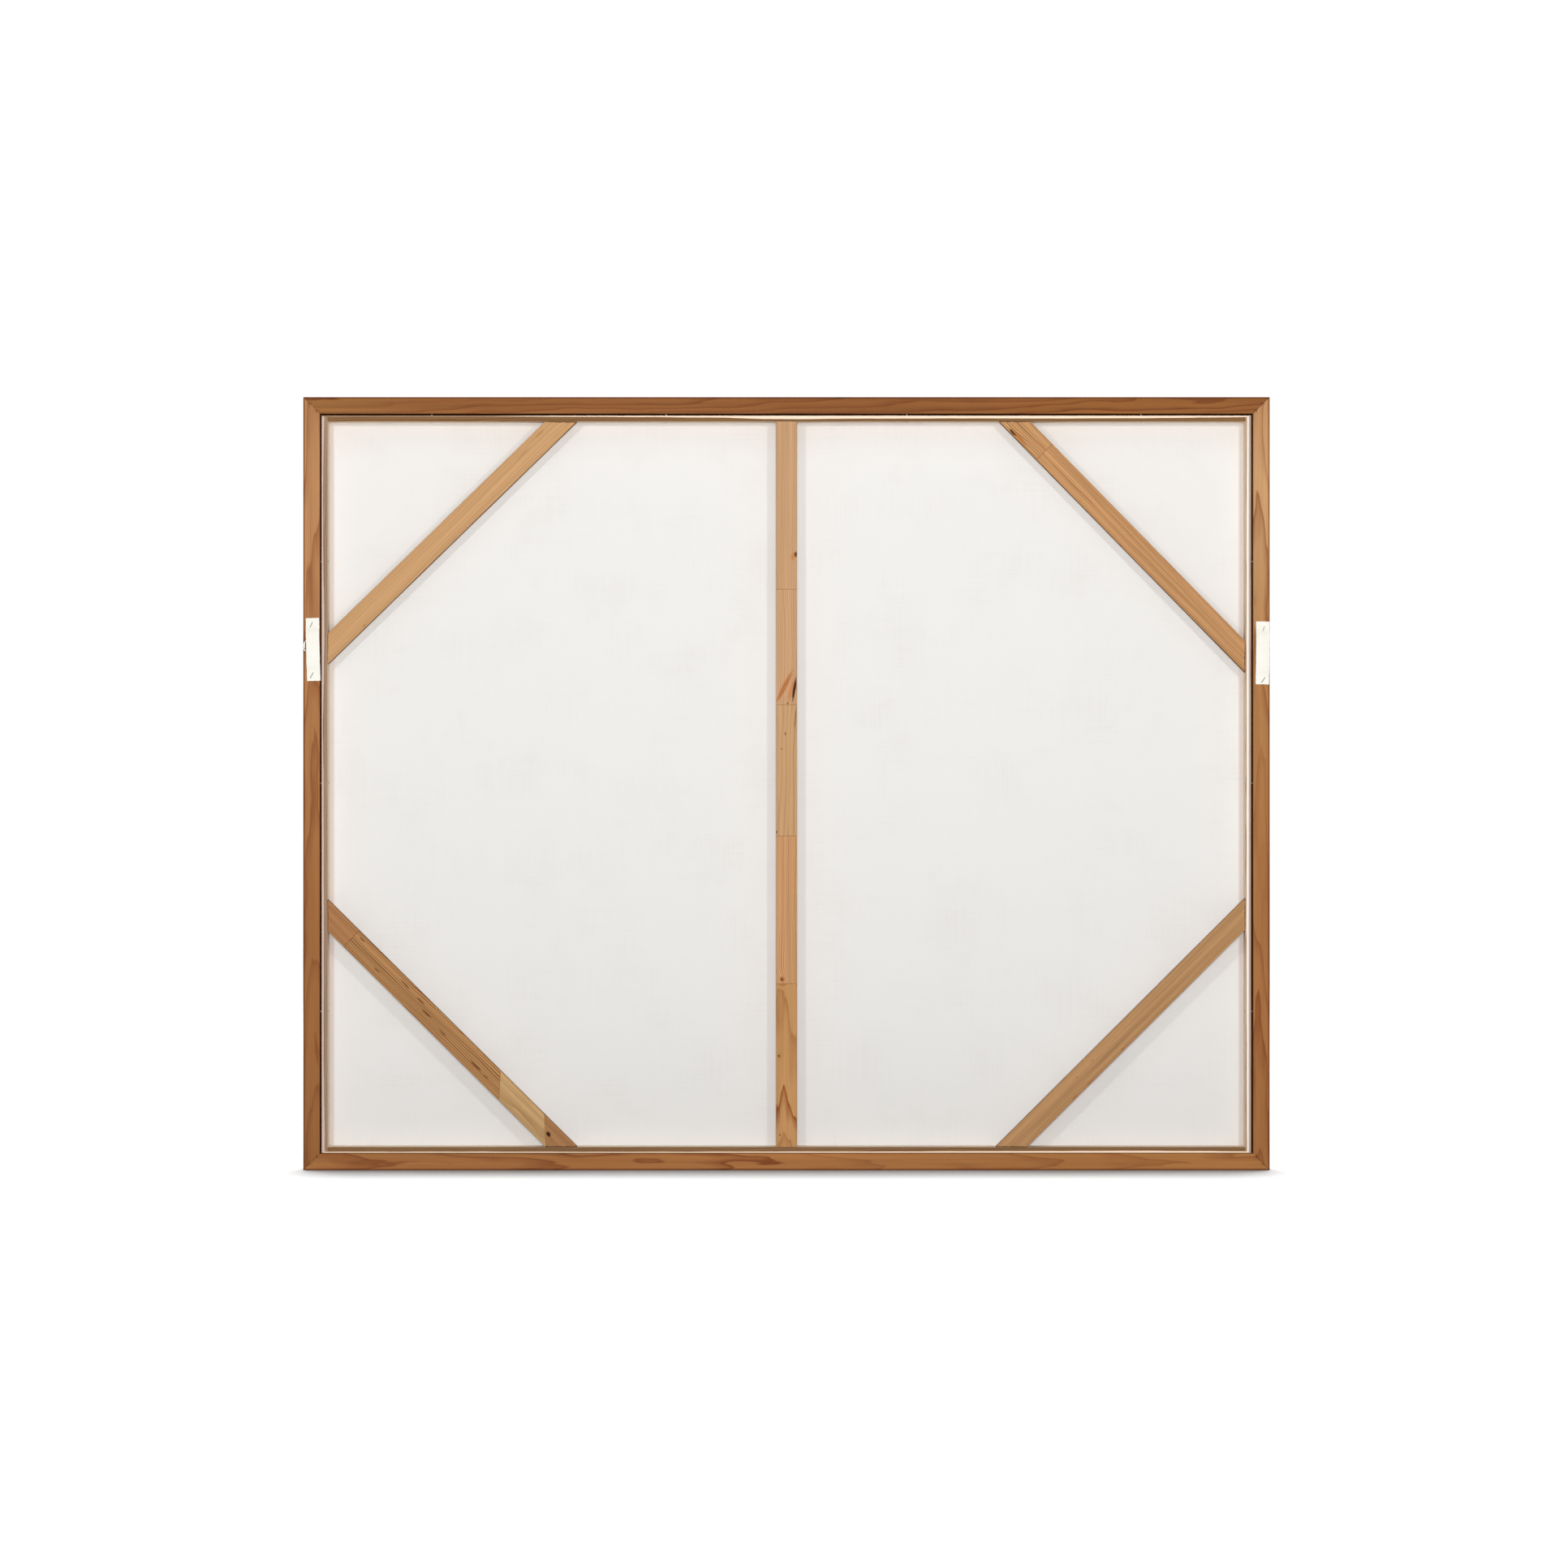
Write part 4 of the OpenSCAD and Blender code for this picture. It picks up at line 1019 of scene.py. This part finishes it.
for i in range(upward_count + 1):
    z = cloth_low.z + end_margin + upward * i / upward_count
    places.append(((cloth_high.x, strip_y, z), TOWARDS["+x"]))
    places.append(((cloth_low.x, strip_y, z), TOWARDS["-x"]))
side_staples = from_tree("side_staples", places, side_staple_tree, side_staple)
fit("side_staples", side_staples, staple_steel, "staple_wire", "canvas_staples")

# ---- Hangers ----
# A folded steel strap screwed to each side rail holds a D-ring of round wire that swings on its bar.
# Zinc-plated steel: the strap is sheet with broken edges, the screw a cross-head with a rolled thread.
zinc = steel("zinc_plated_steel", "#c9c7c0", "#a19f98", (0.22, 0.4), grain=1400.0, depth=0.03 * MM)
bend = 1.6 * MM
wire_sides = [2 * math.pi * k / 14 for k in range(14)]
for side_name in ("left", "right"):
    strap_name, ring_name = "hanger_strap_" + side_name, "d_ring_" + side_name
    strap = finished(from_frame(strap_name, 1, math.radians(60), 0.15 * MM, 2), "strap_" + side_name, 35)
    fit("hanger_strap_bent_" + side_name, strap, zinc, "zinc_steel", strap_name)

    low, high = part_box(ring_name)
    wire = (high.y - low.y) / 2
    reach = (high.x - low.x) / 2 - wire
    ring_x, ring_y = (low.x + high.x) / 2, (low.y + high.y) / 2
    bar_z, arc_z = low.z + wire, high.z - wire - reach
    straight = reach - bend
    # The bar, a tight bend, one side, the half round, the other side and the second bend
    path = [(-straight + 2 * straight * i / 8, bar_z) for i in range(9)]
    path += [(straight + bend * math.sin(a), bar_z + bend * (1 - math.cos(a))) for a in (0.4, 0.8, 1.2)]
    path += [(reach, bar_z + bend + (arc_z - bar_z - bend) * i / 3) for i in range(4)]
    round_end = [math.pi * i / 24 for i in range(1, 24)]
    path += [(reach * math.cos(a), arc_z + reach * math.sin(a)) for a in round_end]
    path += [(-reach, arc_z - (arc_z - bar_z - bend) * i / 3) for i in range(4)]
    path += [(-straight - bend * math.sin(a), bar_z + bend * (1 - math.cos(a))) for a in (1.2, 0.8, 0.4)]
    ring = bmesh.new()
    loops = []
    for i, (x, z) in enumerate(path):
        (x0, z0), (x1, z1) = path[i - 1], path[(i + 1) % len(path)]
        out = Vector((x1 - x0, 0, z1 - z0)).normalized().cross(Vector((0, 1, 0)))
        middle = Vector((ring_x + x, ring_y, z))
        skin = [(out * math.cos(a) + Vector((0, 1, 0)) * math.sin(a)) * wire for a in wire_sides]
        loops.append([ring.verts.new(middle + away) for away in skin])
    join_loops(ring, loops + loops[:1])
    ring_mesh = finished(ring, "ring_" + side_name, 60)
    fit("d_ring_wire_" + side_name, ring_mesh, zinc, "zinc_steel", ring_name, body="ring_" + side_name)

# Each screw: a domed cross-head over a washer face, then a shank with a rolled thread and a gimlet point
screws = bmesh.new()
low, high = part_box("hanger_screws")
head_radius, head_front = (high.z - low.z) / 2, low.y + 1.6 * MM
crest, root, thread_turns, gimlet = 1.75 * MM, 1.25 * MM, 9, 3 * MM
slot_depth = 0.9 * MM
profile = []
for share in (0.0, 0.12, 0.24, 0.36, 0.48, 0.6, 0.72, 0.84, 0.94, 1.0):
    dome = 0.45 * MM * (1 - math.cos(share * math.pi / 2)) ** 1.2
    profile.append((share * head_radius, low.y + (dome if share < 1 else 0.6 * MM)))
profile += [(head_radius, head_front - 0.1 * MM), (head_radius - 0.1 * MM, head_front), (crest, head_front)]
for i in range(1, thread_turns * 2):
    deep = head_front + (high.y - head_front - gimlet) * i / (thread_turns * 2)
    profile.append((crest if i % 2 else root, deep))
profile += [(0.9 * MM, high.y - 1.6 * MM), (0.0, high.y)]
for side in (-1, 1):
    centre = Vector((side * (high.x - head_radius), 0, (low.z + high.z) / 2))
    loops = []
    for radius, deep in profile:
        loop = []
        for a in [2 * math.pi * k / 32 for k in range(32 if radius else 1)]:
            x, z = radius * math.cos(a), radius * math.sin(a)
            crossed = abs(x) < 0.45 * MM or abs(z) < 0.45 * MM
            slot = crossed and radius < 0.62 * head_radius and deep < low.y + 0.5 * MM
            loop.append(screws.verts.new(centre + Vector((x, deep + (slot_depth if slot else 0), z))))
        loops.append(loop)
    join_loops(screws, loops)
fit("hanger_screw_pair", finished(screws, "hanger_screw_pair", 35), zinc, "zinc_steel", "hanger_screws")

# ---- Cloth strips over the hangers ----
# Offcuts of the same primed canvas stapled over each hanger, so that the ring does not mark what it leans on.
# Each lies flat at its ends, humps over the ring, and has a hand-cut edge that curls away from the wood.
COVER = 0.5 * MM
cover_length, cover_width, cover_cut = 99 * MM, 21 * MM, 101 * MM
long_steps, wide_steps = 90, 20
highest = 5.55 * MM
hump = [(-49.5, 0), (-35.5, 0), (-23, 4.4), (2, 5.2), (25, 5.6), (35.5, 0), (49.5, 0)]


def smooth_between(stops, place):
    """Like between, with the corners rounded off."""
    return sum(between(stops, place + shift) for shift in (-4, -2, 0, 2, 4)) / 5


def outer_twin(vert):
    """Where a strip's other side is over this point, away from the wood."""
    return vert.co + (vert.normal if vert.normal.y < 0 else -vert.normal) * COVER


# Each strip's middle (x, z) in mm and its tilt, how far its edge curls, and which side is outward
covers = {
    "left": (
        (-746.3, 821, -1.3), [(-12, 0), (-6, 0.5), (2, 2.2), (10, 2.4), (16, 1.2), (24, 0.2), (30, 0)], -1
    ),
    "right": ((750.6, 815.5, 0.4), [(-10, 0), (0, 0.6), (12, 0.9), (22, 0.4), (28, 0)], 1),
}
offcut = primed_duck("primed_canvas_offcut", "#eeebe2", "#e6e1d4", bare="#efe8da")
for side_name, ((x0, z0, tilt), curl, outer_side) in covers.items():
    strip = new_cloth()
    lean, rise = math.sin(math.radians(tilt)), math.cos(math.radians(tilt))
    rows = []
    for i in range(long_steps + 1):
        along = -cover_length / 2 + cover_length * i / long_steps
        row = []
        for j in range(wide_steps + 1):
            share = j / wide_steps * 2 - 1
            across = cover_width / 2 * share
            ragged = 0.25 * MM * noise.noise((along * 220, 3.0 + share, x0)) if abs(share) == 1 else 0
            end_rag = 0.3 * MM * noise.noise((across * 260, 8.0, z0)) if i in (0, long_steps) else 0
            bulge = between(curl, along / MM) * MM
            out = share * outer_side
            # Over the ring the cloth is a tent, highest in its middle, and its edges curl up again
            tent = smooth_between(hump, along / MM) * MM
            lift = tent * (1 - 0.22 * share * share * min(1.0, tent / (3 * MM)))
            lift += max(out - 0.55, 0) * bulge * 1.1
            lift += 0.12 * MM * noise.noise((along * 90, across * 90, 1.0)) * min(1.0, tent / MM)
            drawn_in = outer_side * max(out - 0.6, 0) * bulge * 0.3
            x = x0 * MM + (across + ragged - drawn_in) * rise + (along + end_rag) * lean
            z = z0 * MM + (along + end_rag) * rise - (across + ragged) * lean
            place = (x, back - 0.03 * MM - min(lift, highest), z)
            row.append(cloth_point(strip, place, (across, along, 0), 0.0, (1, 1, 1, 1)))
        rows.append(row)
    for i in range(long_steps):
        for j in range(wide_steps):
            strip.faces.new((rows[i][j], rows[i + 1][j], rows[i + 1][j + 1], rows[i][j + 1]))
    strip.normal_update()
    thickened(strip, outer_twin, primed=1.0)
    name = "cover_cloth_" + side_name
    cover = fit(name, finished(strip, name, 50), offcut, "canvas_offcut", "cover_strip_" + side_name)

places = []
for x, z, turn in ((-748.4, 780.2, 62), (-749.4, 859.5, 66), (751.7, 772.9, 54), (751.6, 852.4, 70)):
    crown = Euler((math.pi / 2, 0, 0)).to_matrix() @ Euler((0, 0, math.radians(turn))).to_matrix()
    places.append(((x * MM, back - 0.75 * MM, z * MM), tuple(crown.to_euler())))
dull_staple = steel("dull_staple_wire", "#4a4948", "#333231", (0.45, 0.6))
cover_staple = {"Crown": 10.5 * MM, "Leg": 6 * MM, "Wire": 0.8 * MM, "Shoulder": 0.6 * MM}
cover_staple_tree = staple_tree("cover_staple", dull_staple, cover_staple)
cover_staples = from_tree("cover_staples", places, cover_staple_tree, cover_staple)
fit("cover_staples", cover_staples, dull_staple, "staple_wire", "cover_strip_staples")

# ---- Studio ----
# A plain white sweep and an even white surround. One lamp faces the back, small ones model its edges, others
# light the sides and the front, and a soft sun overhead grounds it.
floor = bmesh.new()
floor.faces.new([floor.verts.new((x, y, 0)) for x, y in ((-45, -45), (45, -45), (45, 45), (-45, 45))])
floor_mesh = bpy.data.meshes.new("floor")
floor.to_mesh(floor_mesh)
floor.free()
floor_paint, sweep = blank("white_sweep")
# It looks white, and throws back little of the light, so that the object is not lit from below
looked_at = put(sweep, "LightPath").outputs["Is Camera Ray"]
sweep_tone = put(sweep, "MapRange", {0: looked_at, 3: 0.15, 4: 0.52})
sweep_tone = put(sweep, "CombineColor", {0: sweep_tone, 1: sweep_tone, 2: sweep_tone})
put(sweep, "OutputMaterial", {0: put(sweep, "BsdfDiffuse", {"Color": sweep_tone})})
floor_mesh.materials.append(floor_paint)
floor_object = bpy.data.objects.new("floor", floor_mesh)
bpy.context.scene.collection.objects.link(floor_object)

world = bpy.data.worlds.new("surround")
bpy.context.scene.world = world
world.use_nodes = True
sky = world.node_tree
sky.nodes.clear()
seen = put(sky, "LightPath").outputs["Is Camera Ray"]
glow = put(sky, "MapRange", {0: seen, 3: 0.17, 4: 1.1})
put(sky, "OutputWorld", {0: put(sky, "Background", {"Color": linear("#ffffff"), "Strength": glow})})

# Each square lamp's place, what it faces, its size in metres and its power in watts
lamps = {
    "lamp_left": ((-1.3, -3.0, 1.6), (0, 0, 0.65), 0.22, 19),
    "lamp_right": ((1.3, -3.0, 1.6), (0, 0, 0.65), 0.22, 19),
    "lamp_front": ((0, -8.6, 0.75), (0, 0, 0.6), 1.0, 445),
    "lamp_above": ((0, -2.0, 3.2), (0, 0, 0.8), 1.5, 6),
    "lamp_behind": ((0, 5.0, 3.2), (0, 0, 0.6), 2.5, 150),
    "lamp_side_left": ((-4.5, 1.3, 1.3), (-0.7, 0, 0.6), 1.2, 70),
    "lamp_side_right": ((4.5, 1.3, 1.3), (0.7, 0, 0.6), 1.2, 70),
}
for name, (place, target, size, power) in lamps.items():
    light = bpy.data.lights.new(name, "AREA")
    light.shape = "SQUARE"
    light.size, light.energy = size, power
    holder = bpy.data.objects.new(name, light)
    holder.location = place
    holder.rotation_euler = (Vector(target) - Vector(place)).to_track_quat("-Z", "Y").to_euler()
    bpy.context.scene.collection.objects.link(holder)
overhead = bpy.data.lights.new("lamp_over", "SUN")
overhead.energy, overhead.angle = 5.7, math.radians(12)
overhead_holder = bpy.data.objects.new("lamp_over", overhead)
overhead_holder.rotation_euler = (math.radians(-6.5), 0, 0)
bpy.context.scene.collection.objects.link(overhead_holder)

bpy.context.scene.view_settings.view_transform = "Standard"
camera_data = bpy.data.cameras.new("camera")
camera_data.sensor_width = 36
camera_data.lens = 116.5
camera_data.clip_end = 100
camera = bpy.data.objects.new("camera", camera_data)
camera.location = (-0.0039, -8.0225, 0.6089)
camera.rotation_euler = (math.pi / 2, 0, 0)
bpy.context.scene.collection.objects.link(camera)
bpy.context.scene.camera = camera
